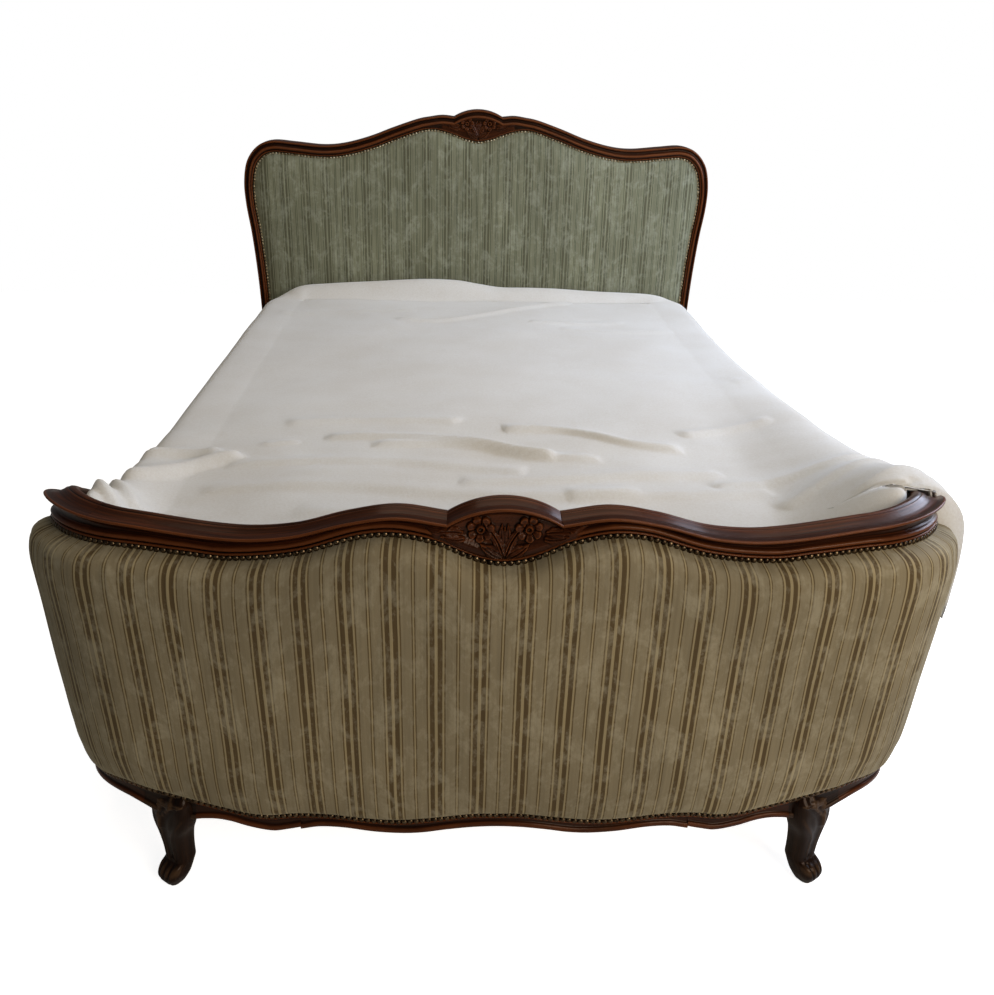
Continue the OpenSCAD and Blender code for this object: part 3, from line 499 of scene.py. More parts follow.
@dataclass(frozen=True)
class StripedVelvet:
    """Woven velvet in warp stripes: plain crushed bands, twin lines and twin dark ribs."""

    name: str
    light: str
    line: str
    dark: str
    thread: str
    bloom: str
    streaks: float = 0.25
    repeat: float = 64.0

    # Widths of one repeat with their tones, in the order of the warp
    BANDS: tuple[tuple[float, str], ...] = (
        (13.5, "light"), (1.5, "line"), (2.0, "thread"), (1.5, "line"), (13.5, "light"),
        (1.8, "line"), (2.5, "thread"), (6.2, "dark"), (4.0, "thread"), (6.2, "dark"),
        (2.5, "thread"), (1.8, "line"))

    def material(self) -> bpy.types.Material:
        """Build the material.

        The stripe is the place across the warp, over the repeat, without its whole part. Bands
        meet over half a millimetre. The crushed pile is noise of 10 and 38 mm that lightens
        them to the bloom tone. The pile's bump is drawn coarser than the real one so that it
        shows.

        Returns:
            The material.
        """
        material, tree, surface = begin(self.name)
        places = add(tree, "TexCoord").outputs["UV"]
        apart = add(tree, "SeparateXYZ", {0: places})
        sway = add(tree, "TexNoise", {"Vector": places, "Scale": 5.0, "Detail": 2.0})
        total = sum(width for width, _ in self.BANDS)
        place = add(tree, "Math", {0: sway, 1: 0.06, 2: 16.0 / total - 0.03},
                    operation="MULTIPLY_ADD")
        place = add(tree, "Math", {0: apart, 1: 1000 / self.repeat, 2: place},
                    operation="MULTIPLY_ADD")
        place = add(tree, "Math", {0: place}, operation="FRACT")
        stops: list[tuple[float, tuple[float, ...]]] = []
        start = 0.0
        for width, tone in self.BANDS:
            colour = linear(getattr(self, tone))
            stops += [((start + 0.25) / total, colour), ((start + width - 0.25) / total, colour)]
            start += width
        warp = add(tree, "ValToRGB", {0: place}, stops=stops)
        long_way = add(tree, "Mapping", {"Vector": places, "Scale": (210.0, 5.0, 1.0)})
        threads = add(tree, "TexNoise", {"Vector": long_way, "Scale": 1.0, "Detail": 3.0})
        threads = add(tree, "MapRange", {0: threads, 1: 0.3, 2: 0.7, 3: 1.0 - self.streaks,
                                         4: 1.0 + self.streaks})
        squashed = add(tree, "Mapping", {"Vector": places, "Scale": (1.0, 0.62, 1.0)})
        coarse = add(tree, "TexNoise", {"Vector": squashed, "Scale": 26.0, "Detail": 7.0,
                                        "Roughness": 0.68, "Distortion": 0.6})
        fine = add(tree, "TexNoise", {"Vector": squashed, "Scale": 105.0, "Detail": 5.0,
                                      "Roughness": 0.7})
        crush = add(tree, "Math", {0: fine, 1: 0.5, 2: coarse}, operation="MULTIPLY_ADD")
        crush = add(tree, "MapRange", {0: crush, 1: 0.72, 2: 0.93, 3: 0.0, 4: 0.5})
        bloomed = add(tree, "Mix", {0: crush, 6: warp, 7: linear(self.bloom)}, data_type="RGBA")
        broad = add(tree, "TexNoise", {"Vector": places, "Scale": 3.4, "Detail": 3.0})
        shade = add(tree, "MapRange", {0: broad, 1: 0.3, 2: 0.7, 3: 0.86, 4: 1.12})
        shade = add(tree, "Math", {0: shade, 1: threads}, operation="MULTIPLY")
        final = add(tree, "VectorMath", {0: bloomed.outputs[2], 3: shade}, operation="SCALE")
        height = add(tree, "Math", {0: warp, 1: 4.0, 2: fine}, operation="MULTIPLY_ADD")
        bump = add(tree, "Bump", {"Height": height, "Strength": 0.5, "Distance": 0.0007})
        feed(tree, surface, {
            "Base Color": final, "Normal": bump, "Roughness": 0.85, "Specular IOR Level": 0.25,
            "Sheen Weight": 0.3, "Sheen Roughness": 0.35, "Sheen Tint": linear("#c9bf9f")})
        return material


@dataclass(frozen=True)
class PlainCloth:
    """Plain woven cloth: brushed cotton, linen or ticking, with nap, slubs and fine lines."""

    name: str
    ground: str
    shade: str
    thread: float
    line: str = ""
    line_step: float = 0.0
    sheen: float = 0.25

    def material(self) -> bpy.types.Material:
        """Build the material.

        The weave is two crossed waves, whose scale is 2 pi over 20 for each thread in a metre.
        Noise of two threads' size stands for the nap. Ticking also has lines across X at
        their own step.

        Returns:
            The material.
        """
        material, tree, surface = begin(self.name)
        places = add(tree, "TexCoord").outputs["Object"]
        rate = 1000 / self.thread
        waves = [add(tree, "TexWave", {"Vector": places, "Scale": 0.314 * rate, "Distortion": 1.2,
                                       "Detail": 2.0, "Detail Scale": 1.5}, bands_direction=way)
                 for way in ("X", "Y")]
        weave = add(tree, "Math", {0: waves[0].outputs["Fac"], 1: waves[1].outputs["Fac"]},
                    operation="MULTIPLY")
        nap = add(tree, "TexNoise", {"Vector": places, "Scale": rate * 0.5, "Detail": 4.0,
                                     "Roughness": 0.7})
        cloud = add(tree, "TexNoise", {"Vector": places, "Scale": 4.0, "Detail": 5.0,
                                       "Roughness": 0.6})
        mixed = add(tree, "Math", {0: nap, 1: 0.55, 2: -0.1}, operation="MULTIPLY_ADD")
        mixed = add(tree, "Math", {0: cloud, 1: 0.55, 2: mixed}, operation="MULTIPLY_ADD")
        mixed = add(tree, "Math", {0: weave, 1: 0.12, 2: mixed}, operation="MULTIPLY_ADD")
        colour = add(tree, "ValToRGB", {0: mixed}, stops=(
            (0.25, linear(self.shade)), (0.62, linear(self.ground))))
        out = colour.outputs[0]
        if self.line:
            apart = add(tree, "SeparateXYZ", {0: places})
            place = add(tree, "Math", {0: apart, 1: 1000 / self.line_step}, operation="MULTIPLY")
            place = add(tree, "Math", {0: place}, operation="FRACT")
            on, off = (1, 1, 1, 1), (0, 0, 0, 1)
            lines = add(tree, "ValToRGB", {0: place}, stops=(
                (0.0, on), (0.1, on), (0.13, off), (0.2, off), (0.22, on), (0.26, on), (0.28, off)))
            out = add(tree, "Mix", {0: lines, 6: out, 7: linear(self.line)},
                      data_type="RGBA").outputs[2]
        height = add(tree, "Math", {0: weave, 1: 0.5, 2: nap}, operation="MULTIPLY_ADD")
        bump = add(tree, "Bump", {"Height": height, "Strength": 0.45, "Distance": 0.0006})
        feed(tree, surface, {
            "Base Color": out, "Normal": bump, "Roughness": 0.92, "Specular IOR Level": 0.2,
            "Sheen Weight": self.sheen, "Sheen Roughness": 0.5})
        return material


@dataclass(frozen=True)
class OldMetal:
    """Old metal: polished where it is touched and dull brown or grey elsewhere."""

    name: str
    bright: str
    dull: str
    roughness: float

    def material(self) -> bpy.types.Material:
        """Build the material: a tone of its own for each nail, under tarnish of 4 mm noise.

        Returns:
            The material.
        """
        material, tree, surface = begin(self.name)
        places = add(tree, "TexCoord").outputs["Object"]
        each = add(tree, "Attribute", attribute_name="relief").outputs["Fac"]
        spots = add(tree, "TexNoise", {"Vector": places, "Scale": 240.0, "Detail": 3.0,
                                       "Roughness": 0.6})
        mixed = add(tree, "Math", {0: each, 1: 0.5, 2: spots}, operation="MULTIPLY_ADD")
        colour = add(tree, "ValToRGB", {0: mixed}, stops=(
            (0.35, linear(self.dull)), (0.7, linear(self.bright))))
        gloss = add(tree, "MapRange", {0: spots, 1: 0.3, 2: 0.7, 3: self.roughness + 0.12,
                                       4: self.roughness - 0.06})
        bump = add(tree, "Bump", {"Height": spots, "Strength": 0.15, "Distance": 0.0003})
        feed(tree, surface, {"Base Color": colour, "Roughness": gloss, "Normal": bump,
                             "Metallic": 1.0})
        return material


# Walnut, planed, carved and waxed for a century: near black in the hollows, red brown where
# hands have rubbed it
WALNUT = Wood("waxed_walnut", "#140904", "#34180b", "#532912", "#6d3c1d", "#090402")
# The same wood lower down, painted darker as painted shade where less light reaches it, and with
# less wear
SHADED_WALNUT = Wood("shaded_waxed_walnut", "#0b0503", "#180c07", "#28170d", "#5c4631", "#050201",
                   roughness=0.4, wear=0.8)
# Pine boards, planed and left bare
PINE = Wood("bare_pine", "#a5794a", "#c69a66", "#d8b381", "#d8b381", "#8d6640", roughness=0.62,
            coat=0.0, streak=5.0, wear=0.3)
# Striped cotton velvet, brown on beige, crushed and rubbed pale
VELVET_FOOT = StripedVelvet("striped_velvet_foot", "#7f745b", "#58492f", "#514229", "#8f8160",
                            "#a09880", streaks=0.1)
# The same cloth on the headboard, painted a greyer green as painted daylight falling on it
DAYLIT_VELVET_HEAD = StripedVelvet("daylit_striped_velvet_head", "#74755e", "#4a4c39", "#5a5a46", "#7b7c64",
                            "#989b87", streaks=0.2)
# Brushed cotton, soft and matt, washed off-white
COTTON = PlainCloth("brushed_cotton", "#cfcec9", "#bfbab0", 2.2)
# Plain linen lining, a little darker than the velvet's pale bands
LINEN = PlainCloth("linen_lining", "#b7a888", "#9c8c6c", 2.4, sheen=0.1)
# Cotton ticking with narrow blue-grey lines
TICKING = PlainCloth("cotton_ticking", "#e0dace", "#cdc6b8", 1.8, line="#6c7684",
                     line_step=32.0, sheen=0.1)
# Domed nails of pressed brass. On the footboard they are browned nearly black, with a small
# hard glint
BROWN_BRASS = OldMetal("browned_brass", "#75634a", "#30231a", 0.3)
# On the headboard they are painted paler, a lit copy of the brass whose paleness is painted
# reflection
LIT_BRASS = OldMetal("lit_pale_brass", "#b9ab8c", "#5f5138", 0.34)
# Forged and pressed steel fittings, dull
STEEL = OldMetal("dull_steel", "#8c8e90", "#55575a", 0.42)


@dataclass
class PlanLine:
    """Plan of the footboard: a bowed front, two corner arcs and two straight returns."""

    rail_x: float
    foot_y: float
    bow_r: float = 2.9
    corner_r: float = 0.2
    return_l: float = 0.178
    leg_back: float = 19 * MM

    def __post_init__(self) -> None:
        """Work out where the bow, the corner arc and the return meet."""
        self.bow_cy = self.foot_y + self.bow_r
        self.corner_x = self.rail_x - self.corner_r
        self.corner_y = self.bow_cy - math.sqrt((self.bow_r - self.corner_r)**2 - self.corner_x**2)
        self.bow_a = math.asin(self.corner_x / (self.bow_r - self.corner_r))
        self.s_corner = self.bow_r * self.bow_a
        self.s_side = self.s_corner + self.corner_r * (math.pi / 2 - self.bow_a)
        self.s_end = self.s_side + self.return_l
        self.seam_s = self.s_corner + (self.s_side - self.s_corner) * 0.2
        self.leg_s = self.s_corner - self.leg_back

    def frames(self, s: Array) -> tuple[Array, Array, Array, Array]:
        """Point and outward direction at a distance from the middle.

        The direction turns with the distance over the bow's radius, then over the corner's
        radius up to a quarter turn. The point lies that way from the arc's centre, and past
        the corner it moves back along Y.

        Args:
            s: distances along the line, negative to the left.

        Returns:
            x, y, outward x and outward y.
        """
        a = np.abs(s)
        bow = a <= self.s_corner
        turn = np.where(bow, a / self.bow_r,
                        np.minimum(self.bow_a + (a - self.s_corner) / self.corner_r, np.pi / 2))
        nx, ny = np.sin(turn), -np.cos(turn)
        x = np.where(bow, self.bow_r * nx, self.corner_x + self.corner_r * nx)
        y = np.where(bow, self.bow_cy + self.bow_r * ny, self.corner_y + self.corner_r * ny)
        side = np.where(s < 0, -1.0, 1.0)
        return side * x, y + np.maximum(a - self.s_side, 0), side * nx, ny

    def at(self, s: Array, out: Array, z: Array) -> Array:
        """Points at distances along the line, outward from it and at heights, shaped (..., 3)."""
        x, y, nx, ny = self.frames(s)
        return np.stack(np.broadcast_arrays(x + out * nx, y + out * ny, z), -1)

    def stations(self, a: float, b: float, step: float, extra: Sequence[float] = ()) -> Array:
        """Distances from a to b about one step apart, with extra ones where they lie between."""
        plain = np.linspace(a, b, max(2, int(round((b - a) / step)) + 1))
        return np.unique(np.concatenate([plain, [e for e in extra if a < e < b]]))


@dataclass
class FootHeights:
    """Heights of the footboard's mouldings along the plan line, in metres."""

    plan: PlanLine
    top: float
    crest_half: float = 83.0
    crest_arch: float = 26.0
    cusp: float = 322.0
    return_fall: float = 197.0

    def __post_init__(self) -> None:
        """Set the tables, as (distance, height) in millimetres."""
        h, c = self.top / MM, self.plan.s_corner / MM
        side, end = self.plan.s_side / MM, self.plan.s_end / MM
        notch, mid = h - self.crest_arch + 1, side + self.plan.return_l / MM * 0.55
        last = notch - self.return_fall
        self.arch_r = (self.crest_half**2 + self.crest_arch**2) / (2 * self.crest_arch)
        self.nosing_table: Table = (
            (self.crest_half, notch), (155, notch + 9), (225, notch - 3), (310, notch - 28),
            (400, notch - 37), (c, notch - 26), (c + 110, notch - 22), (c + 190, notch - 30),
            (side, notch - 62), (mid, notch - 122), (end, last))
        self.nail_table: Table = (
            (-30, h - 87), (0, h - 91), (30, h - 87), (60, h - 76), (95, h - 60), (155, h - 48),
            (210, h - 54), (300, h - 84), (400, h - 99), (470, h - 96), (c, h - 92),
            (c + 110, h - 95), (c + 190, h - 104), (side, h - 130), (mid, h - 188),
            (end, last - 37))
        self.low_table: Table = (
            (-40, 193), (0, 194), (40, 193), (98, 184), (160, 176), (216, 177), (270, 181),
            (324, 179), (370, 170), (410, 170), (450, 177), (c - 60, 187), (c, 197), (c + 45, 203),
            (c + 80, 200), (c + 120, 191), (c + 190, 179), (end, 171))
        self.apron_mid: Table = (
            (-40, 166), (0, 168), (40, 166), (83, 160), (120, 153), (155, 150), (200, 151),
            (250, 156), (290, 155), (self.cusp, 147))
        self.apron_side: Table = (
            (self.cusp, 151), (345, 144), (370, 138), (410, 142), (440, 149), (465, 151),
            (490, 148), (515, 143), (c, 150), (c + 30, 162), (c + 60, 169), (c + 100, 168),
            (c + 150, 160), (c + 190, 152), (end, 142))

    def nosing(self, s: Array) -> Array:
        """Outer edge of the top rail: a circle's arc over the crest, then its table.

        Args:
            s: distances along the plan line in metres.

        Returns:
            The heights in metres.
        """
        a = np.abs(s) / MM
        arch = self.top / MM - self.arch_r + np.sqrt(np.maximum(self.arch_r**2 - a**2, 0))
        return np.where(a < self.crest_half, arch, curve(self.nosing_table, a)) * MM

    def nails(self, s: Array) -> Array:
        """Seat of the upper nails."""
        return curve(self.nail_table, np.abs(s) / MM) * MM

    def low(self, s: Array) -> Array:
        """Seat of the lower nails."""
        return curve(self.low_table, np.abs(s) / MM) * MM

    def apron(self, s: Array) -> Array:
        """Lower edge of the bottom rail, stepped at its cusp."""
        a = np.abs(s) / MM
        return np.where(a <= self.cusp, curve(self.apron_mid, a), curve(self.apron_side, a)) * MM


def along_plan(plan: PlanLine, s: Array, profile: Array, bases: Sequence[Array]) -> Array:
    """Carry a section along the plan line.

    A corner of the section lies outward by its first value. Its height is its third value
    over the mix of the two bases on either side of its second.

    Args:
        plan: the plan line.
        s: the stations.
        profile: the section, shaped (points, 3), in millimetres.
        bases: heights of the bases at the stations, in metres.

    Returns:
        A grid shaped (stations, points, 3).
    """
    stack = np.stack([*bases, bases[-1]])
    i = profile[:, 1].astype(int)
    t = (profile[:, 1] - i)[:, None]
    z = ((1 - t) * stack[i] + t * stack[i + 1]).T + profile[:, 2] * MM
    return plan.at(s[:, None], profile[:, 0] * MM, z)


# Section of the top rail, as (outward, base, height): base 0 is the nail seat and 1 the nosing
TOP_SECTION: Table = (
    (-46, 0, -14), (-9, 0, -14), (-4, 0, -7), (-4, 0, 5.4), (-3, 0, 6.6), (-1, 0, 7.4),
    (-0.2, 0, 9), (-1.2, 0, 10.6), (-4.4, 0, 11.2), (-5.4, 0, 12), (-3.4, 0, 12.8), (-0.9, 0, 14),
    (0.2, 0, 16.4), (-0.8, 0, 19), (-3.8, 0, 20.8), (-7, 0, 21.6), (-8.8, 0, 23.4), (-9.4, 0.5, 0),
    (-9, 1, -14), (-7.4, 1, -11), (-3, 1, -7.6), (1.6, 1, -4.8), (4, 1, -3.4), (5.5, 1, -2.2),
    (5.9, 1, -0.6), (5.1, 1, 0.9), (3, 1, 1.3), (0.4, 1, 0), (-4, 1, -1.6), (-10, 1, -2.4),
    (-17, 1, -1.8), (-24, 1, 0.6), (-28.4, 1, 3), (-30, 1, 3.4), (-31.2, 1, 2.6), (-32.4, 1, 3.6),
    (-36, 1, 4.6), (-41, 1, 3.4), (-44.8, 1, 0.4), (-46, 1, -4))
# Section of the bottom rail: base 0 is its lower edge, 1 the lower nails and 2 the floor
LOW_SECTION: Table = (
    (-46, 0, -0.6), (-14, 0, -0.6), (-8, 0, -1.6), (-3.4, 0, -1.4), (-0.8, 0, 0.4), (0.2, 0, 3.4),
    (-0.2, 0, 6.8), (-1.8, 0, 9), (-3.8, 0, 10), (-5, 0, 11.4), (-6, 0.5, 2), (-6, 1, -11),
    (-3.4, 1, -10.4), (-2.6, 1, -9), (-3.4, 1, -7.8), (-9, 1, -6), (-10, 2, 216), (-46, 2, 216))


@dataclass
class FootRails:
    """The moulded top rail, the shaped apron and their returns."""

    plan: PlanLine
    heights: FootHeights
    step: float = 5 * MM

    def top_piece(self, name: str, a: float, b: float, finish: bpy.types.Material) -> None:
        """Sweep the top rail's section between two distances.

        Args:
            name: the node that the piece stands for.
            a: distance along the plan line where it starts.
            b: distance where it ends.
            finish: its material.
        """
        s = self.plan.stations(a, b, self.step, kinks(self.heights.crest_half * MM, 0.2 * MM))
        span = 45
        profile = eased(TOP_SECTION, 1.1, span)
        grid = along_plan(self.plan, s, profile, (self.heights.nails(s), self.heights.nosing(s)))
        make(name.replace("foot_", "basket_"), [shell(grid, relief=wear(profile, span))], finish,
             "bed", (name,))

    def low_shell(self, a: float, b: float) -> Shell:
        """Sweep the bottom rail's section between two distances.

        Args:
            a: distance along the plan line where it starts.
            b: distance where it ends.

        Returns:
            The shell.
        """
        heights, span = self.heights, 30
        s = self.plan.stations(a, b, self.step, kinks(heights.cusp * MM, 0.6 * MM))
        profile = eased(LOW_SECTION, 1.0, span)
        bases = heights.apron(s), heights.low(s), np.zeros(len(s))
        return shell(along_plan(self.plan, s, profile, bases), relief=wear(profile, span))

    def build(self) -> None:
        """Make the rails and their returns, with hairline joints between them."""
        plan, finish, joint = self.plan, WALNUT.material(), 0.35 * MM
        self.top_piece("foot_top_rail", -plan.seam_s, plan.seam_s, finish)
        self.top_piece("foot_top_return_right", plan.seam_s + joint, plan.s_end, finish)
        self.top_piece("foot_top_return_left", -plan.s_end, -plan.seam_s - joint, finish)
        inner, outer = plan.leg_s - LEG_HALF, plan.leg_s + LEG_HALF
        for name, a, b in (("foot_bottom_rail", -inner, inner),
                           ("foot_bottom_return_right", outer, plan.s_end),
                           ("foot_bottom_return_left", -plan.s_end, -outer)):
            make(name.replace("foot_", "apron_"), [self.low_shell(a, b)], finish, "bed",
                 (name,))


class Motif(Enum):
    """Leaves of the crest carving, as (base x, base y, angle, length, width, height, bend)."""

    FAN_FAR = (0, 2, 71, 64, 15, 5.4, -0.003)
    FAN_NEAR = (3, 18, 80, 36, 9, 4.2, 0.004)
    FAN_MIDDLE = (0, 6, 90, 44, 9, 4.8, 0.0)
    ROOT_LOW = (1, 0, 19, 42, 16, 4.6, 0.007)
    ROOT_HIGH = (2, 5, 42, 34, 12, 5.0, -0.008)
    SIDE_HIGH = (57, 38, 16, 42, 14, 4.8, -0.004)
    SIDE_LOW = (55, 31, -8, 36, 14, 4.4, 0.008)
    SIDE_TIP = (86, 45, 8, 38, 11, 3.6, -0.006)


@dataclass
class CrestCarving:
    """Two seven-petalled flowers, a fan of leaves, acanthus at the root and leaves aside."""

    flower_x: float = 34.5
    flower_y: float = 45.0
    reach: float = 120.0

    def leaf(self, x: Array, y: Array, motif: Motif) -> Array:
        """Height of one leaf in millimetres.

        With u along the leaf and v across it, less bend times u squared, the half width is
        half the width times the sine of pi times the share of the length to the power 0.8,
        scalloped by a small sine. The height falls from the middle as the root of one less
        v over the half width squared. Narrow bells cut the middle vein and one on each side.

        Args:
            x: places across in millimetres.
            y: places up in millimetres.
            motif: the leaf.

        Returns:
            The heights, 0 off the leaf.
        """
        bx, by, angle, length, width, height, bend = motif.value
        c, n = math.cos(math.radians(angle)), math.sin(math.radians(angle))
        u, v = (x - bx) * c + (y - by) * n, -(x - bx) * n + (y - by) * c
        v = v - bend * u * u
        share = np.clip(u / length, 0, 1)
        half = width / 2 * np.sin(np.pi * share**0.8) * (1 + 0.1 * np.sin(u * 0.6))
        body = np.sqrt(np.clip(1 - (v / np.maximum(half, 0.01))**2, 0, 1)) * (half > 0.4)
        vein = (1 - 0.6 * bell(v, 1.1) * (share < 0.85)
                - 0.25 * bell(np.abs(v) - width / 4, 0.9))
        return height * body * vein * smooth(0, 0.08, share)

    def flower(self, x: Array, y: Array) -> Array:
        """Height of the flower on the right in millimetres.

        The rim is a ring of seven lobes. Each petal is cupped: it rises towards its rim and
        falls off there, and the lines between petals are cut in. The heart is a ring of
        4 mm radius with a dimple.

        Args:
            x: places across in millimetres.
            y: places up in millimetres.

        Returns:
            The heights, 0 off the flower.
        """
        dx, dy = x - self.flower_x, y - self.flower_y
        r, a = np.hypot(dx, dy), np.arctan2(dy, dx)
        lobe = np.abs(np.cos(3.5 * (a - 0.3)))
        rim = 16.6 + 4.6 * lobe**0.7
        petal = (2.6 + 3.4 * smooth(6, 16, r)) * (1 - smooth(rim - 2.4, rim, r))
        cut = 1 - 0.55 * (1 - smooth(0.0, 0.5, lobe)) * smooth(5.5, 8, r)
        heart = 4.4 * bell(r - 4.6, 1.6) - 1.6 * bell(r - 8, 1.6)
        return petal * cut + heart

    def height(self, x: Array, y: Array) -> Array:
        """Height of the whole carving: the highest of its motifs, the same on both sides.

        Args:
            x: places across in millimetres.
            y: places up in millimetres.

        Returns:
            The heights, with the light marks of the tool.
        """
        side = np.abs(x)
        total = self.flower(side, y)
        for motif in Motif:
            total = np.maximum(total, self.leaf(side, y, motif))
        return total + 0.1 * swells(x, y, 5.0, 7)

    def wear(self, height: Array) -> Array:
        """Wear of the carving: its height less the mean over four cells each way, scaled.

        Args:
            height: the carved heights on a grid.

        Returns:
            The wear, from -1 in hollows to 1 on ridges.
        """
        mean = height.copy()
        for axis in (0, 1):
            mean = sum(np.roll(mean, k, axis) for k in range(-4, 5)) / 9
        return np.clip((height - mean) / 1.6, -1, 1)

    def across(self) -> Array:
        """Places across the carving in millimetres, 0.7 mm apart."""
        return np.linspace(-self.reach, self.reach, int(2 * self.reach / 0.7))

    def spread(self, x: Array, low: Array, high: Array,
               root: float) -> tuple[Array, Array, Array, Array]:
        """Spread the carving between two lines across it, all in millimetres.

        Rows run from the low line to the high one in even shares. The carving fades out over
        a twentieth of them at each line.

        Args:
            x: places across.
            low: height of the low line at each place.
            high: height of the high line there.
            root: height where the leaves start.

        Returns:
            Heights (places, rows), carved heights, the rows' fade, and the wear with two
            more rows for the back.
        """
        share = np.linspace(0, 1, 92)
        z = low[:, None] + (high - low)[:, None] * share
        rise = self.height(np.broadcast_to(x[:, None], z.shape), z - root)
        edge = smooth(0, 0.05, share) * (1 - smooth(0.95, 1, share))
        return z, rise, edge, np.concatenate([self.wear(rise), np.full((len(x), 2), -0.3)], 1)

    def on_foot(self, plan: PlanLine, heights: FootHeights, finish: bpy.types.Material) -> None:
        """Lay the carving on the frieze of the top rail.

        Args:
            plan: the footboard's plan line.
            heights: the footboard's heights.
            finish: the carving's material.
        """
        x = self.across()
        s = x * MM
        low = heights.nails(s) / MM + 11
        high = np.maximum(heights.nosing(s) / MM - 9, low + 2)
        root = float(heights.nails(np.zeros(1))[0]) / MM + 12
        z, rise, edge, relief = self.spread(x, low, high, root)
        fades = smooth(self.reach, self.reach - 22, np.abs(x))[:, None]
        ground = -7.4 + 7.6 * (1 - smooth(9, 26, z - low[:, None])) * fades
        out = ground + (1.2 + rise) * edge * fades
        front = plan.at(s[:, None], out * MM, z * MM)
        back = plan.at(s[:, None], np.array([[-12.0, -12.0]]) * MM, np.stack([high, low], 1) * MM)
        make("basket_crest", [shell(np.concatenate([front, back], 1), relief=relief)], finish,
             "bed", ("foot_crest",), crisp=60)


@dataclass
class NailRow:
    """Domed upholstery nails in a row, each a dome of ten sides with a flat back."""

    radius: float = 4.8
    high: float = 3.3

    def shells(self, places: Array, out: Array, seed: int) -> Shell:
        """Set a dome at every place, a little askew.

        The dome is five rings, each a share of the radius at a share of the height. It is
        turned to the outward direction, which is tipped by a few degrees.

        Args:
            places: seats, shaped (nails, 3).
            out: level outward directions, shaped (nails, 3).
            seed: picks the tilts and tones.

        Returns:
            One shell of all domes.
        """
        rng = np.random.default_rng(seed)
        n = len(places)
        out = out + rng.normal(0, 0.035, (n, 3))
        out /= np.linalg.norm(out, axis=1, keepdims=True)
        side = np.cross([0.0, 0.0, 1.0], out)
        side /= np.linalg.norm(side, axis=1, keepdims=True)
        up = np.cross(out, side)
        rings = np.array([(0.93, 0), (1, 0.1), (0.9, 0.46), (0.62, 0.82), (0.25, 0.99)])
        sides, count = 10, len(rings)
        angle = np.arange(sides) * np.pi / (sides / 2)
        r, h = rings[:, 0] * self.radius * MM, rings[:, 1] * self.high * MM
        flat = np.stack([r[:, None] * np.cos(angle), r[:, None] * np.sin(angle),
                         np.broadcast_to(h[:, None], (count, sides))], -1).reshape(-1, 3)
        axes = np.stack([side, up, out], 1)
        points = places[:, None] + flat @ axes
        base = np.arange(n)[:, None, None] * count * sides
        cell = np.arange((count - 1) * sides).reshape(-1, sides)
        turn = np.roll(cell, -1, 1)
        quads = np.stack([cell, turn, turn + sides, cell + sides], -1).reshape(1, -1, 4) + base
        first = np.arange(sides)
        ends = np.stack([first[::-1], (count - 1) * sides + first])[None] + base
        blocks = [quads.reshape(-1, 4), ends.reshape(-1, sides)]
        made = Shell(points.reshape(-1, 3), [(b, np.zeros(b.shape + (2,))) for b in blocks],
                     np.repeat(rng.uniform(-0.15, 0.15, n), count * sides))
        return made.outward()


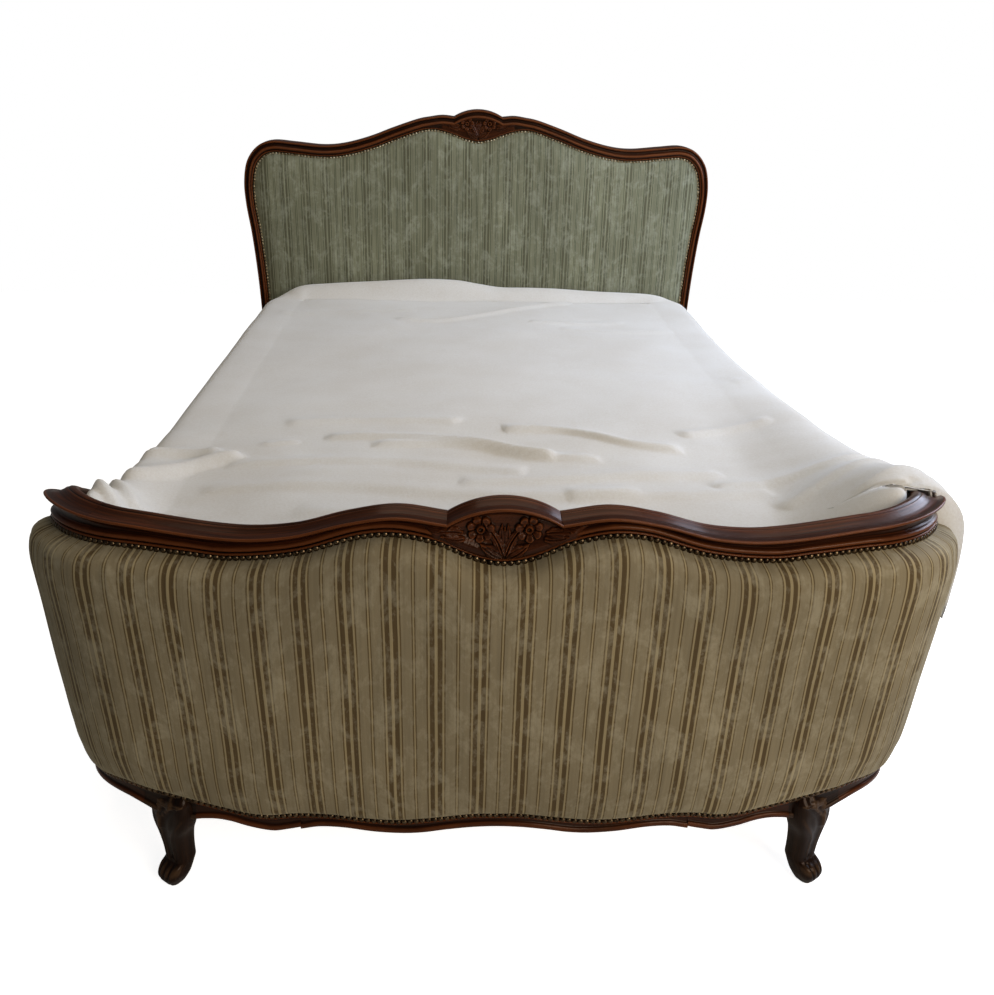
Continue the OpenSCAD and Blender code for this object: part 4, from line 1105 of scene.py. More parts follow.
@dataclass
class FootUpholstery:
    """Velvet panel, its nails and the linen lining of the footboard."""

    plan: PlanLine
    heights: FootHeights
    swell: float = 43.0

    # Share of the swell against the share of the height, from the low nails up
    FACE: Table = (
        (0, -0.03), (0.006, 0.1), (0.03, 0.27), (0.094, 0.42), (0.151, 0.535), (0.24, 0.615),
        (0.329, 0.674), (0.512, 0.79), (0.688, 0.89), (0.78, 0.955), (0.868, 1.0), (0.904, 0.985),
        (0.94, 0.925), (0.965, 0.83), (0.985, 0.62), (0.996, 0.28), (1.0, 0.02))

    def panel(self) -> None:
        """Make the velvet panel.

        The face is the swell times its table, less where the returns end. Pulls of the
        nails scallop its two edges, gathers of 30 mm run down from the shoulder at the
        corners, and soft swells lie on the rest. The back is flat behind the rails.
        """
        plan, heights = self.plan, self.heights
        end = plan.s_end - 0.4 * MM
        s = plan.stations(-end, end, 3.4 * MM)
        low, top = heights.low(s)[:, None], heights.nails(s)[:, None]
        u = np.linspace(0, 1, 64)
        share = 0.5 - 0.5 * np.cos(np.pi * u)
        share = 0.6 * share + 0.4 * (1 - (1 - u)**2.4)
        a = np.abs(s)[:, None] / MM
        g = self.swell * (1 - 0.38 * smooth(plan.s_side / MM, plan.s_end / MM + 40, a))
        z = low + (top + 4 * MM - low) * share
        below, above = (top - z) / MM, (z - low) / MM
        corner = smooth(430, 560, a) * (1 - smooth(900, 980, a))
        pull = np.cos(np.pi * s[:, None] / (NAIL_STEP * MM))**2
        out = -2 + g * curve(self.FACE, np.clip((z - low) / (top - low), 0, 1))
        out -= 1.1 * pull * np.exp(-np.abs(below - 5) / 6) + 0.9 * pull * np.exp(-above / 7)
        out += (corner * 1.9 * swells(a, below * 0.18, 27.0, 3) * np.exp(-below / 60)
                * smooth(4, 22, below))
        for rise, size, seed, tall, edge in ((1.0, 210.0, 5, 1.6, 60), (0.35, 46.0, 9, 2.5, 30)):
            out += (rise * swells(s[:, None] / MM, above, size, seed, (1, tall))
                    * smooth(0, edge, below) * smooth(0, edge, above))
        face = plan.at(s[:, None], out * MM, z)
        back_out = np.array([-3.6, -3.6, -8.4, -14.1, -14.1, -9.4, -8.6]) * MM
        sill = np.full_like(low, 216.5 * MM)
        back_z = np.concatenate([top + 4 * MM, top - 7.5 * MM, top - 14.5 * MM, top - 14.5 * MM,
                                 sill, sill, low - 4 * MM], 1)
        grid = np.concatenate([face, plan.at(s[:, None], back_out, back_z)], 1)
        steps = np.linalg.norm(np.diff(grid, axis=1), axis=2).mean(0)
        fall = np.concatenate([[0], np.cumsum(steps)])
        fall = np.append(fall, fall[-1] + 0.01)
        uv = np.stack(np.broadcast_arrays(s[:, None], fall), -1)
        pad = make("velvet_basket_panel", [shell(grid, uv=uv)], VELVET_FOOT.material(), "bed",
                   ("foot_outer_pad",), crisp=70)

    def lining(self) -> None:
        """Make the linen lining inside the basket, with its long edges eased by 2 mm."""
        plan = self.plan
        end = plan.s_end - 34.3 * MM
        s = plan.stations(-end, end, 8 * MM)
        profile = eased(((-38.4, 0, 216.4), (-38.4, 1, -14.4), (-44.6, 1, -14.4), (-46, 1, -22),
                         (-46, 0, 226), (-44.6, 0, 216.4)), 2.0, 400)
        grid = along_plan(plan, s, profile, (np.zeros(len(s)), self.heights.nails(s)))
        lining = make("linen_basket_lining", [shell(grid)], LINEN.material(), "bed",
                      ("foot_inner_pad",))

    def nails(self) -> None:
        """Drive the two rows of nails, 10 mm apart."""
        n = math.floor(self.plan.s_end / MM / NAIL_STEP)
        s = np.arange(-n + 1, n) * NAIL_STEP * MM
        finish = BROWN_BRASS.material()
        for name, out, z, seed in (("foot_top_nails", -0.9, self.heights.nails(s) + 4 * MM, 11),
                                   ("foot_bottom_nails", -3.6, self.heights.low(s) - 4 * MM, 12)):
            _, _, nx, ny = self.plan.frames(s)
            directions = np.stack([nx, ny, np.zeros(len(s))], 1)
            row = NailRow().shells(self.plan.at(s, np.full(len(s), out * MM), z), directions, seed)
            make(name.replace("foot_", "brass_"), [row], finish, "bed", (name,), crisp=80)

    def build(self) -> None:
        """Make the panel, the lining and the nails."""
        self.panel()
        self.lining()
        self.nails()


@dataclass
class FrontLeg:
    """Short cabriole leg with a flowered knee, a channelled shin and a ribbed scroll toe."""

    plan: PlanLine
    heights: FootHeights
    rails: FootRails
    turn: float = 36.0
    post_out: float = -20.0
    flower_w: float = 11.0
    flower_z: float = 165.0

    # Height, reach to the front, reach to the back and half width, in millimetres
    ROWS: Table = (
        (0, 31, -4, 12.5), (3, 35, -2, 14.5), (9, 39, 2, 17.5), (19, 43.5, 8, 21.5),
        (28, 42.5, 13, 22.5), (37, 36, 17, 23), (42, 27, 19, 23), (46, 22.5, 20, 23),
        (58, 22.5, 20, 23), (80, 24, 20, 24.5), (105, 27, 21, 28.5), (128, 28, 22, 38),
        (150, 25, 24, 42), (165, 21, 24, 40), (176, 17, 20, 36), (186, 8, 16, 30))

    def relief(self, z: Array, w: Array, half: Array, front: Array) -> Array:
        """Carved height on the front of the leg in millimetres.

        Three grooves run over the toe at even shares of its width. Two beads follow the
        sides of the shin, and a stronger one its middle, with channels between. A flower of
        six petals sits on the knee, with a pointed leaf below it and one to each side.

        Args:
            z: heights in millimetres.
            w: places across the leg in millimetres.
            half: half widths of the leg in millimetres.
            front: 1 on the front of the leg, falling to 0 at its sides.

        Returns:
            The heights.
        """
        share = w / half
        toe = 1 - smooth(41, 45, z)
        ribs = -2.3 * sum(bell(share - c, 0.085) for c in (-0.48, 0.0, 0.48)) * toe
        shin = smooth(45, 52, z) * (1 - smooth(138, 160, z))
        lane = 0.5 + 0.36 * smooth(100, 150, z)
        beads = (1.3 * bell(np.abs(share) - lane, 0.1)
                 - 1.0 * bell(np.abs(share) - lane + 0.25, 0.15)) * shin
        ridge = 0.14 - 0.5 * smooth(138, 170, z)
        beads = beads + (2.6 * bell(share - ridge, 0.09)
                         - 1.6 * bell(share - ridge + 0.24, 0.14)) * smooth(44, 50, z)
        v, up = w - self.flower_w, z - self.flower_z
        r, a = np.hypot(v, up), np.arctan2(up, v)
        rim = 9.4 + 2.6 * np.abs(np.cos(3 * a))
        petals = (2.2 + 2.0 * smooth(3, 8, r)) * (1 - smooth(rim - 2, rim, r))
        flower = petals + 2.6 * bell(r - 2.6, 1.2)
        width = np.maximum(7 * np.sin(np.pi * np.clip((z - 116) / 42, 0, 1)**0.7), 0.01)
        fall = (3.6 * np.sqrt(np.clip(1 - (v / width)**2, 0, 1)) * (z > 117) * (z < 157)
                * (1 - 0.5 * bell(v, 0.9)))
        side = CrestCarving().leaf(np.abs(v) + 50, z - 128, Motif.SIDE_HIGH) * 0.7
        return (ribs + beads + np.maximum(np.maximum(flower, fall), side * (z < 178))) * front

    def shells(self, side: float) -> list[Shell]:
        """Make the leg, its part of the apron and the post behind the velvet.

        The rings are superellipses of power 0.6, deeper to the front than to the back,
        turned outward, with the carving added along their direction.

        Args:
            side: 1 for the right leg and -1 for the left one.

        Returns:
            The shells.
        """
        z = np.unique(np.concatenate([np.linspace(0, 186, 130), np.linspace(36, 50, 22)]))[:, None]
        reach, back, half = (curve(tuple((r[0], r[k]) for r in self.ROWS), z) for k in (1, 2, 3))
        angle = np.linspace(0, 2 * np.pi, 120, endpoint=False)
        c, n = np.cos(angle), np.sin(angle)
        f = (reach - back) / 2 + np.sign(c) * np.abs(c)**0.6 * (reach + back) / 2
        w = np.sign(n) * np.abs(n)**0.6 * half
        carved = self.relief(z, w, half, smooth(0.05, 0.4, c))
        f = f + carved * np.abs(c)
        turn = math.radians(self.turn)
        x, y, nx, ny = (float(v) for v in self.plan.frames(np.array(self.plan.leg_s)))
        ox, oy = x + self.post_out * MM * nx, y + self.post_out * MM * ny
        px = ox + (math.sin(turn) * f + math.cos(turn) * w) * MM
        py = oy + (-math.cos(turn) * f + math.sin(turn) * w) * MM
        grid = np.stack([side * px, py, np.broadcast_to(z * MM, px.shape)], -1)
        worn = np.clip(carved / 2.6, -1, 1) + 0.9 * bell(z - 33, 9) * (c > 0.2)
        leg = shell(grid, relief=np.clip(worn, -1, 1))
        s0, half_width = self.plan.leg_s, LEG_HALF - 0.3 * MM
        a, b = sorted((side * (s0 - half_width), side * (s0 + half_width)))
        top = self.heights.nails(np.array([s0]))[0] - 15 * MM
        s = self.plan.stations(*sorted((side * (s0 - 26 * MM), side * (s0 + 26 * MM))), 13 * MM)
        out = np.array([-38, -20, -20, -38]) * MM
        foot = 206 * MM
        post = self.plan.at(s[:, None], out, np.array([foot, foot, top, top]))
        return [leg, self.rails.low_shell(a, b), shell(post)]

    def build(self) -> None:
        """Make both legs."""
        # The legs take the darker walnut, whose dark tones are painted shade
        finish = SHADED_WALNUT.material()
        for side, word in ((1.0, "right"), (-1.0, "left")):
            make(f"scroll_leg_{word}", self.shells(side), finish, "bed",
                 (f"front_leg_{word}",), crisp=50)


@dataclass
class Headboard:
    """Moulded frame with its crest, dips, shoulders and waist, and the nailed velvet in it."""

    head_h: float
    head_x: float
    head_y: float
    head_t: float = 58.0
    arch_x: float = 75.0
    arch_h: float = 21.0
    crest_t: float = 3.0
    joint_t: float = 14.5
    waist: float = 28.0

    # Section as (inward, base, depth from the front): base 0 is the outer edge, 1 the inner one
    SECTION: Table = (
        (0, 0, 58), (0, 0, 12), (0.4, 0, 8), (1.6, 0, 5), (3.6, 0, 3.4), (5.6, 0, 4), (6.6, 0, 6),
        (8, 0, 8), (10.6, 0, 9.4), (13.6, 0, 8.6), (15.8, 0, 5.4), (17.4, 0, 2), (20, 0, 0.4),
        (22.8, 0, 1), (24.6, 0, 4), (25.2, 0, 6.6), (27, 0, 7.6), (-13.5, 1, 9), (-12.6, 1, 7.4),
        (-11, 1, 7), (-9.6, 1, 8.2), (-9.2, 1, 13), (-8, 1, 17), (0, 1, 19), (0, 1, 58))

    def __post_init__(self) -> None:
        """Set the outline's right half and the moulding's width, in millimetres."""
        h, x = self.head_h / MM, self.head_x / MM
        self.edge = np.array([
            (-40, h - 24), (0, h - 25), (40, h - 24), (self.arch_x, h - self.arch_h), (112, h - 18),
            (150, h - 23), (190, h - 31), (265, h - 56), (341, h - 84), (418, h - 104),
            (485, h - 110), (x - 167, h - 103), (x - 97, h - 98.5), (x - 50, h - 115),
            (x - 15, h - 158), (x - 1, h - 220), (x - 2, h - 290), (x - 13, h - 381),
            (x - 21, h - 481), (x - 26, h - 581), (x - 28, h - 690), (x - 28, h - 800),
            (x - 28, 318)])
        self.band: Table = (
            (-1, 95), (0, 101), (1, 95), (2, 82), (3, 61), (4, 53), (5, 44), (6, 42), (12, 42),
            (14, 38), (16, 34), (23, 34))
        self.arch_r = (self.arch_x**2 + self.arch_h**2) / (2 * self.arch_h)

    def on_edge(self, t: Array) -> Array:
        """Point on the outline, by Hermite cubics.

        Args:
            t: places counted in the outline's points.

        Returns:
            The points, in millimetres.
        """
        p = self.edge
        slope = np.empty_like(p)
        slope[1:-1] = (p[2:] - p[:-2]) / 2
        slope[0], slope[-1] = p[1] - p[0], p[-1] - p[-2]
        i = np.clip(t.astype(int), 0, len(p) - 2)
        start, leave, end, arrive = hermite((t - i)[..., None])
        return start * p[i] + leave * slope[i] + end * p[i + 1] + arrive * slope[i + 1]

    def outline(self, t: Array) -> tuple[Array, Array, Array]:
        """Outline, inward direction and moulding width.

        Over the crest the outline is a circle's arc and the inside lies straight down. From
        there the direction turns over three points to the outline's own normal.

        Args:
            t: places counted in points of the outline, negative to the left.

        Returns:
            Points (n, 2), directions (n, 2) and widths (n,), in millimetres.
        """
        a, last = np.abs(t), len(self.edge) - 1
        mirror = np.stack([np.where(t < 0, -1.0, 1.0), np.ones_like(t)], 1)
        step = self.on_edge(np.minimum(a + 0.02, last)) - self.on_edge(np.maximum(a - 0.02, 0))
        step /= np.linalg.norm(step, axis=-1, keepdims=True)
        w = np.clip((a - self.crest_t) / 3, 0, 1)
        way = np.stack([w * step[:, 1], -w * step[:, 0] - (1 - w)], 1)
        way /= np.linalg.norm(way, axis=1, keepdims=True)
        x = self.arch_x * a / self.crest_t
        arc = np.sqrt(np.maximum(self.arch_r**2 - x**2, 0))
        arch = np.stack([x, self.head_h / MM - self.arch_r + arc], 1)
        on_crest = (a <= self.crest_t)[:, None]
        point = np.where(on_crest, arch, self.on_edge(a))
        way = np.where(on_crest, np.array([0.0, -1.0]), way)
        return point * mirror, way * mirror, curve(self.band, a)

    def ring(self, point: Array, way: Array, inward: Array, depth: Array) -> Array:
        """Points inward from the outline and at depths from the front.

        Args:
            point: points of the outline, shaped (n, 2).
            way: inward directions, shaped (n, 2).
            inward: distances inward, shaped (n, m).
            depth: depths, broadcast over the distances.

        Returns:
            The points, shaped (n, m, 3), in metres.
        """
        x = point[:, :1] + way[:, :1] * inward
        z = point[:, 1:] + way[:, 1:] * inward
        return np.stack(np.broadcast_arrays(x * MM, self.head_y + depth * MM, z * MM), -1)

    def moulding(self, a: float, b: float) -> Shell:
        """Sweep the frame's section between two places of the outline.

        Args:
            a: place where it starts, counted in the outline's points.
            b: place where it ends.

        Returns:
            The shell.
        """
        plain = np.linspace(a, b, max(2, int((b - a) / 0.075)))
        t = np.unique(np.concatenate([plain, [k for k in kinks(self.crest_t, 0.004) if a < k < b]]))
        point, way, band = self.outline(t)
        profile = eased(self.SECTION, 1.1, 42)
        inner, usual = profile[:, 1], 42
        narrow = np.minimum(band / usual, 1)[:, None]
        inward = (1 - inner) * profile[:, 0] * narrow + inner * (band[:, None] + profile[:, 0])
        grid = self.ring(point, way, inward, np.broadcast_to(profile[:, 2], inward.shape))
        turned = np.stack([profile[:, 0] + usual * inner, np.zeros(len(profile)), -profile[:, 2]],
                          1)
        return shell(grid, relief=wear(turned, usual))

    def rear_leg(self, side: float) -> Shell:
        """Square rear leg with its edges eased, from the floor to the lower end of the stile.

        Args:
            side: 1 for the right leg and -1 for the left one.

        Returns:
            The shell.
        """
        x1, width = self.head_x / MM - self.waist, 48
        x0 = x1 - width
        corners = ((x0, 0, 0), (x1, 0, 0), (x1, 0, self.head_t), (x0, 0, self.head_t))
        section = eased(corners, 2.5, 1)
        z = np.array([0, 1.5, 3, 160, 317, 318.5, 320])
        shrink = np.array([1.5, 0.4, 0, 0, 0, 0.4, 1.5])[:, None]
        mx, my = x1 - width / 2, self.head_t / 2
        x = mx + (section[:, 0] - mx) * (1 - shrink / (width / 2))
        y = my + (section[:, 2] - my) * (1 - shrink / my)
        grid = np.stack([side * x * MM, self.head_y + y * MM,
                         np.broadcast_to(z[:, None] * MM, x.shape)], -1)
        return shell(grid, relief=wear(section, 1))

    def crest(self, finish: bpy.types.Material) -> None:
        """Lay the carving on the frieze between the crest's ridge and the nails.

        Args:
            finish: the carving's material.
        """
        carving = CrestCarving()
        x = carving.across()
        point, way, band = self.outline(np.linspace(0, 8, 900))
        inner, outer = point + way * (band[:, None] - 10.5), point + way * 22.5
        low = np.interp(np.abs(x), inner[:, 0], inner[:, 1])
        high = np.maximum(np.interp(np.abs(x), outer[:, 0], outer[:, 1]), low + 2)
        z, rise, edge, relief = carving.spread(x, low, high, self.head_h / MM - 86)
        fades = smooth(carving.reach, carving.reach - 12, np.abs(x))[:, None]
        depth = 9.4 - (1.6 + rise) * edge * fades
        front = np.stack(np.broadcast_arrays(x[:, None] * MM, self.head_y + depth * MM, z * MM), -1)
        back = np.stack(np.broadcast_arrays(x[:, None] * MM, self.head_y + 13 * MM,
                                            np.stack([high, low], 1) * MM), -1)
        make("head_crest", [shell(np.concatenate([front, back], 1), relief=relief)], finish, "bed",
             ("headboard_crest",), crisp=60)

    def panel(self) -> None:
        """Make the velvet panel: rings in from the nailed edge, then rings drawn to the middle.

        The face rises from the nails by its own table and lies almost flat further in, with
        scallops between the nails and soft swells.
        """
        t = np.unique(np.concatenate([np.linspace(-20, 20, 620), [-3.0, 3.0]]))
        point, way, band = self.outline(t)
        leg_x, sill_z, side_band, count = self.head_x / MM - self.waist, 330.0, 34.0, 41
        sill_x = np.concatenate([[leg_x], np.linspace(600, -600, count), [-leg_x]])
        sill = np.stack([sill_x, np.full(len(sill_x), sill_z - side_band)], 1)
        sill_way = np.stack([np.concatenate([[-1], np.zeros(count), [1]]),
                             np.ones(len(sill_x))], 1)
        point, way = np.concatenate([point, sill]), np.concatenate([way, sill_way])
        band = np.concatenate([band, np.full(len(sill_x), side_band)])
        rows = np.array([
            (0.3, 37.7), (0.3, 18.4), (-8, 16.8), (-7.4, 14.4), (-5, 13.4), (-2, 11.6), (1, 9.8),
            (4, 8.2), (8, 6.4), (13, 4.6), (19, 3.0), (27, 1.6), (38, 0.4), (48, -0.3), (60, -0.8)])
        inward = band[:, None] + rows[:, 0]
        grid = self.ring(point, way, inward, np.broadcast_to(rows[:, 1], inward.shape))
        middle = np.array([0, self.head_y - 1.5 * MM, (self.head_h / MM + sill_z) / 2000 - 0.02])
        draw = np.linspace(0, 1, 34)[1:, None, None]**0.9 * 0.985
        inner = grid[:, -1][None] * (1 - draw) + middle * draw
        grid = np.concatenate([grid.transpose(1, 0, 2), inner], 0)
        x, z = grid[..., 0] / MM, grid[..., 2] / MM
        depth_in = np.concatenate([rows[:, 0], np.full(33, 70.0)])[:, None]
        loose = smooth(10, 60, depth_in)
        soft = 1.1 * swells(x, z, 240.0, 21, (1, 1.5)) + 0.4 * swells(x, z, 55.0, 22, (1, 3))
        pull = (0.8 * np.cos(np.pi * (x + z * 0.6) / NAIL_STEP)**2 * np.exp(-np.abs(depth_in) / 6)
                * (depth_in > -8))
        grid[..., 1] += (pull - soft * loose) * MM
        uv = grid[..., [0, 2]]
        uv = np.concatenate([uv, uv[:, :1]], 1)
        # The headboard's velvet is a copy tinted greener as painted daylight
        pad = make("velvet_head_panel", [shell(grid, uv=uv)], DAYLIT_VELVET_HEAD.material(), "bed",
                   ("headboard_pad",), crisp=75)

    def nails(self) -> None:
        """Drive the nails 10 mm apart along a line 4.5 mm outside the inner edge."""
        t = np.linspace(-21.5, 21.5, 6000)
        point, way, band = self.outline(t)
        line = point + way * (band[:, None] - 4.5)
        run = np.concatenate([[0], np.cumsum(np.linalg.norm(np.diff(line, axis=0), axis=1))])
        half = run[-1] / 2
        n = math.floor(half / NAIL_STEP)
        at = half + np.arange(-n, n + 1) * NAIL_STEP
        x, z = (np.interp(at, run, line[:, k]) for k in (0, 1))
        places = np.stack([x * MM, np.full(len(x), self.head_y + 14 * MM), z * MM], 1)
        out = np.broadcast_to(np.array([0.0, -1.0, 0.0]), places.shape)
        # The headboard's nails take the lit copy of the brass, painted paler as painted reflection
        make("brass_head_nails", [NailRow().shells(places, out, 13)], LIT_BRASS.material(), "bed",
             ("headboard_nails",), crisp=80)

    def build(self) -> None:
        """Make the frame, the carving, the velvet and the nails."""
        finish = WALNUT.material()
        make("head_crown", [self.moulding(-self.joint_t, self.joint_t)], finish, "bed",
             ("headboard_top_rail",))
        for side, word in ((1, "right"), (-1, "left")):
            ends = sorted((side * (self.joint_t + 0.006), side * 22.0))
            make(f"head_stile_{word}", [self.moulding(*ends), self.rear_leg(side)], finish, "bed",
                 (f"headboard_stile_{word}",))
        self.crest(finish)
        self.panel()
        self.nails()


@dataclass(frozen=True)
class Fold:
    """A soft ridge or valley of the cover along a line, with its own width on each side.

    The height falls off as a bell curve with the distance from the line and fades at its ends.
    """

    points: tuple[tuple[float, float], ...]
    height: float
    left: float
    right: float

    def rise(self, x: Array, y: Array) -> Array:
        """Height of the fold at places on the cover.

        Each place is measured along and across the nearest of 48 points on the line.

        Args:
            x: places across in millimetres.
            y: places along in millimetres, shaped alike.

        Returns:
            The heights in millimetres.
        """
        line = spline(np.array([self.points], float), np.linspace(0, 1, 48)[None])[0]
        way = np.gradient(line, axis=0)
        step = np.linalg.norm(way, axis=1)
        way = way / step[:, None]
        px, py = x.ravel(), y.ravel()
        near = np.argmin((px[:, None] - line[:, 0])**2 + (py[:, None] - line[:, 1])**2, 1)
        dx, dy = px - line[near, 0], py - line[near, 1]
        along = dx * way[near, 0] + dy * way[near, 1]
        across = way[near, 0] * dy - way[near, 1] * dx
        beyond = np.maximum(np.abs(along) - 0.7 * step[near], 0)
        t = (near + np.clip(along / step[near], -0.5, 0.5)) / (len(line) - 1)
        width = np.where(across > 0, self.left, self.right)
        fade = smooth(0, 0.22, t) * smooth(1, 0.78, t)
        return (self.height * fade * np.exp(-(across**2 + beyond**2) / width**2)).reshape(x.shape)


# Folds of the cover in millimetres: long ones across the foot third, one from the head to
# the middle, a fan at the left return and another that climbs over the right one
COVER_FOLDS = (
    Fold(((-330, -385), (-158, -388), (-34, -414), (47, -474), (120, -492)), 8, 26, 10),
    Fold(((-230, -432), (-107, -421), (19, -438), (82, -490), (210, -500)), 7, 22, 10),
    Fold(((30, -345), (155, -342), (225, -392), (287, -432), (380, -440)), 9, 26, 10),
    Fold(((-600, 697), (-416, 698), (-190, 715)), 3, 16, 8),
    Fold(((290, 862), (180, 790), (68, 700), (-107, 570), (-240, 600)), 6, 20, 12),
    Fold(((-690, -509), (-667, -486), (-636, -474), (-520, -470)), 12, 26, 12),
    Fold(((-690, -606), (-645, -608), (-605, -578), (-560, -520), (-480, -478)), 14, 30, 12),
    Fold(((-700, -700), (-666, -741), (-640, -768), (-612, -800), (-575, -842)), 14, 16, 9),
    Fold(((-705, -640), (-665, -672), (-630, -700), (-600, -760)), 12, 18, 9),
    Fold(((-600, -786), (-576, -778), (-535, -735)), -4, 8, 8),
    Fold(((-450, -420), (-420, -412), (-388, -408)), 4, 14, 7),
    Fold(((400, -618), (521, -603), (589, -595), (651, -582), (740, -556)), 7, 24, 9),
    Fold(((500, -712), (561, -684), (596, -666), (643, -648), (740, -620)), 6, 22, 9),
    Fold(((600, -770), (678, -734), (720, -728)), 4, 12, 7),
    Fold(((668, -778), (684, -796), (686, -815), (680, -835)), -7, 6, 6),
    Fold(((400, -356), (486, -318), (600, -285)), 6, 22, 10),
    Fold(((600, 18), (660, 20), (720, 22)), 3, 14, 8),
    Fold(((-500, -525), (-300, -505), (-100, -520), (60, -560)), 5, 30, 12),
    Fold(((-520, -640), (-330, -620), (-120, -640), (90, -665), (260, -655)), 5, 34, 12),
    Fold(((-60, -605), (120, -590), (300, -575), (430, -555)), 5, 28, 12),
    Fold(((130, -670), (320, -655), (500, -640)), 5, 30, 12),
    Fold(((-420, -300), (-230, -280), (-60, -300)), 4, 30, 14),
    Fold(((-340, -725), (-160, -740), (60, -730), (240, -745)), 4, 28, 12),
    Fold(((150, 572), (300, 560), (430, 600)), 3, 18, 10),
    Fold(((230, 500), (380, 470), (560, 520)), 3, 18, 10))


@dataclass
class Bedding:
    """Stuffed mattress with corded edges, and the washed cotton cover laid over it."""

    plan: PlanLine
    low: Vector
    high: Vector
    radius: float = 120.0
    crown: float = 12.0
    drop: float = 150.0
    foot_drop: float = 60.0
    flap_end: float = 446.0
    side_gap: float = 29.0
    cord: float = 3.0
    spine_end: float = 620.0
    cloth_over: float = 5.5
    cloth_wall: float = 2.2
    tuck_y: float = -797.0

    # Side of the mattress, as (outward, height), for a height of 196
    SIDE: Table = (
        (-30, 0), (-12, 0.5), (-3.5, 4), (-0.5, 12), (-1.5, 18), (-3, 24), (-2, 60), (-1, 98),
        (-2, 136), (-3, 172), (-1.5, 178), (-0.5, 184), (-3.5, 192), (-12, 195.5), (-30, 196.5))
    # How far the cover stands over the right and left edges, against the place along Y
    LIFT_RIGHT: Table = (
        (-890, 40), (-860, 75), (-830, 98), (-790, 104), (-745, 95), (-715, 90), (-666, 74),
        (-620, 58), (-580, 46), (-500, 40), (-400, 32), (-300, 26), (-100, 16), (100, 8), (300, 0))
    LIFT_LEFT: Table = (
        (-880, 50), (-840, 78), (-812, 80), (-770, 70), (-705, 44), (-660, 34), (-600, 20),
        (-545, 22), (-500, 14), (-443, 2), (-393, 4), (-300, 0))
    # Share of the right edge's cloth that climbs over the return, against the place along Y
    OVER_RETURN: Table = (
        (-620, 1), (-560, 0.92), (-480, 0.72), (-420, 0.62), (-342, 0.5), (-230, 0.42),
        (-118, 0.32), (30, 0.17), (200, 0.05), (400, 0))
    # Height of the rolled hem at the head, against the place along X
    HEM: Table = (
        (-650, 4), (-620, 14), (-577, 30), (-460, 40), (-346, 46), (-250, 54), (-150, 60),
        (-60, 56), (0, 44), (75, 31), (170, 30), (276, 29), (408, 22), (520, 17), (600, 12),
        (641, 5))

    def __post_init__(self) -> None:
        """Take the mattress's edges in millimetres."""
        self.half = self.high.x / MM
        self.foot, self.head = self.low.y / MM, self.high.y / MM
        self.base = self.low.z / MM
        self.top = self.high.z / MM - self.crown

    def loop(self, across: tuple[int, int], stops: Array,
             turns: tuple[int, int]) -> tuple[Array, Array]:
        """Edge of the mattress seen from above: straight sides and round corners.

        Left and right are alike. A corner's directions turn in even steps about its centre.

        Args:
            across: places on the straight part of the foot and of the head.
            stops: places on a side as shares of its straight part, from 0 to below 1.
            turns: places in each corner of the foot and of the head.

        Returns:
            Centres (n, 2) and outward directions (n, 2), anticlockwise from the foot's left
            end.
        """
        w, y0, y1 = self.half - self.radius, self.foot + self.radius, self.head - self.radius
        down = np.append(stops[1:], 1.0)[::-1]
        foot, head = (np.arange(n) / n for n in across)
        parts = ((w * (2 * foot - 1), y0, -90, 0), (w, y0, -90, turns[0]),
                 (w, y0 + (y1 - y0) * stops, 0, 0), (w, y1, 0, turns[1]),
                 (w * (1 - 2 * head), y1, 90, 0), (-w, y1, 90, turns[1]),
                 (-w, y0 + (y1 - y0) * down, 180, 0), (-w, y0, 180, turns[0]))
        centres, ways = [], []
        for x, y, start, turn in parts:
            angle = np.radians(start + 90 * np.arange(turn) / turn if turn else start)
            x, y, angle = np.broadcast_arrays(np.asarray(x, float), y, angle)
            centres.append(np.stack([x, y], -1))
            ways.append(np.stack([np.cos(angle), np.sin(angle)], -1))
        return np.concatenate(centres), np.concatenate(ways)

    def drawn_in(self, ring: Array, q: Array) -> Array:
        """Rings (k, n, 2) between a ring and its nearest points on the bed's middle line."""
        y = np.clip(ring[:, 1], self.foot + self.spine_end, self.head - self.spine_end)
        return ring[None] + (np.stack([0 * y, y], 1) - ring)[None] * q[:, None, None]

    def mattress(self) -> None:
        """Make the mattress: side rows, then rings drawn to the middle over the crown."""
        centres, ways = self.loop((34, 34), np.arange(50) / 50, (14, 14))
        rows = np.array(self.SIDE)
        rings = centres[None] + ways[None] * (self.radius + rows[:, 0])[:, None, None]
        level = self.base + rows[:, 1] / 196 * (self.top - self.base)
        q = np.linspace(0, 0.97, 16)[1:]
        inner = self.drawn_in(rings[-1], q)
        sunk = 6 * smooth(0, 0.15, q)
        rise = self.top + (self.crown * np.sin(np.pi / 2 * q) - sunk) - 0.5
        grid = solid(np.concatenate([rings, inner]), np.concatenate([level, rise])[:, None])
        cords = []
        angle = np.linspace(0, 2 * np.pi, 8, endpoint=False)
        out, up = self.cord * np.cos(angle), self.cord * np.sin(angle)
        for height in (self.base + 14, self.top - 26):
            path = centres + ways * (self.radius - self.cord)
            tube = solid(path[:, None] + ways[:, None] * out[:, None], height + up)
            cords.append(shell(np.concatenate([tube, tube[:1]]), ends=False).outward())
        bed = make("ticking_mattress", [shell(grid), *cords], TICKING.material(), "bedding",
                   ("mattress",), crisp=60)

    def creases(self, x: Array, y: Array) -> Array:
        """Height of the cover over the mattress: its folds and soft random swells.

        Finer swells are added towards the foot.

        Args:
            x: places across in millimetres.
            y: places along in millimetres.

        Returns:
            The heights in millimetres.
        """
        folds = sum(fold.rise(x, y) for fold in COVER_FOLDS)
        front = 1 - smooth(-420, -150, y)
        fine = ((1.0 + 0.7 * front) * swells(x, y, 150.0, 36, (1.8, 1))
                + 0.6 * front * swells(x, y, 62.0, 38, (2.2, 1)))
        return 1.25 * folds + 2.6 * swells(x, y, 460.0, 35) + fine + self.cloth_over

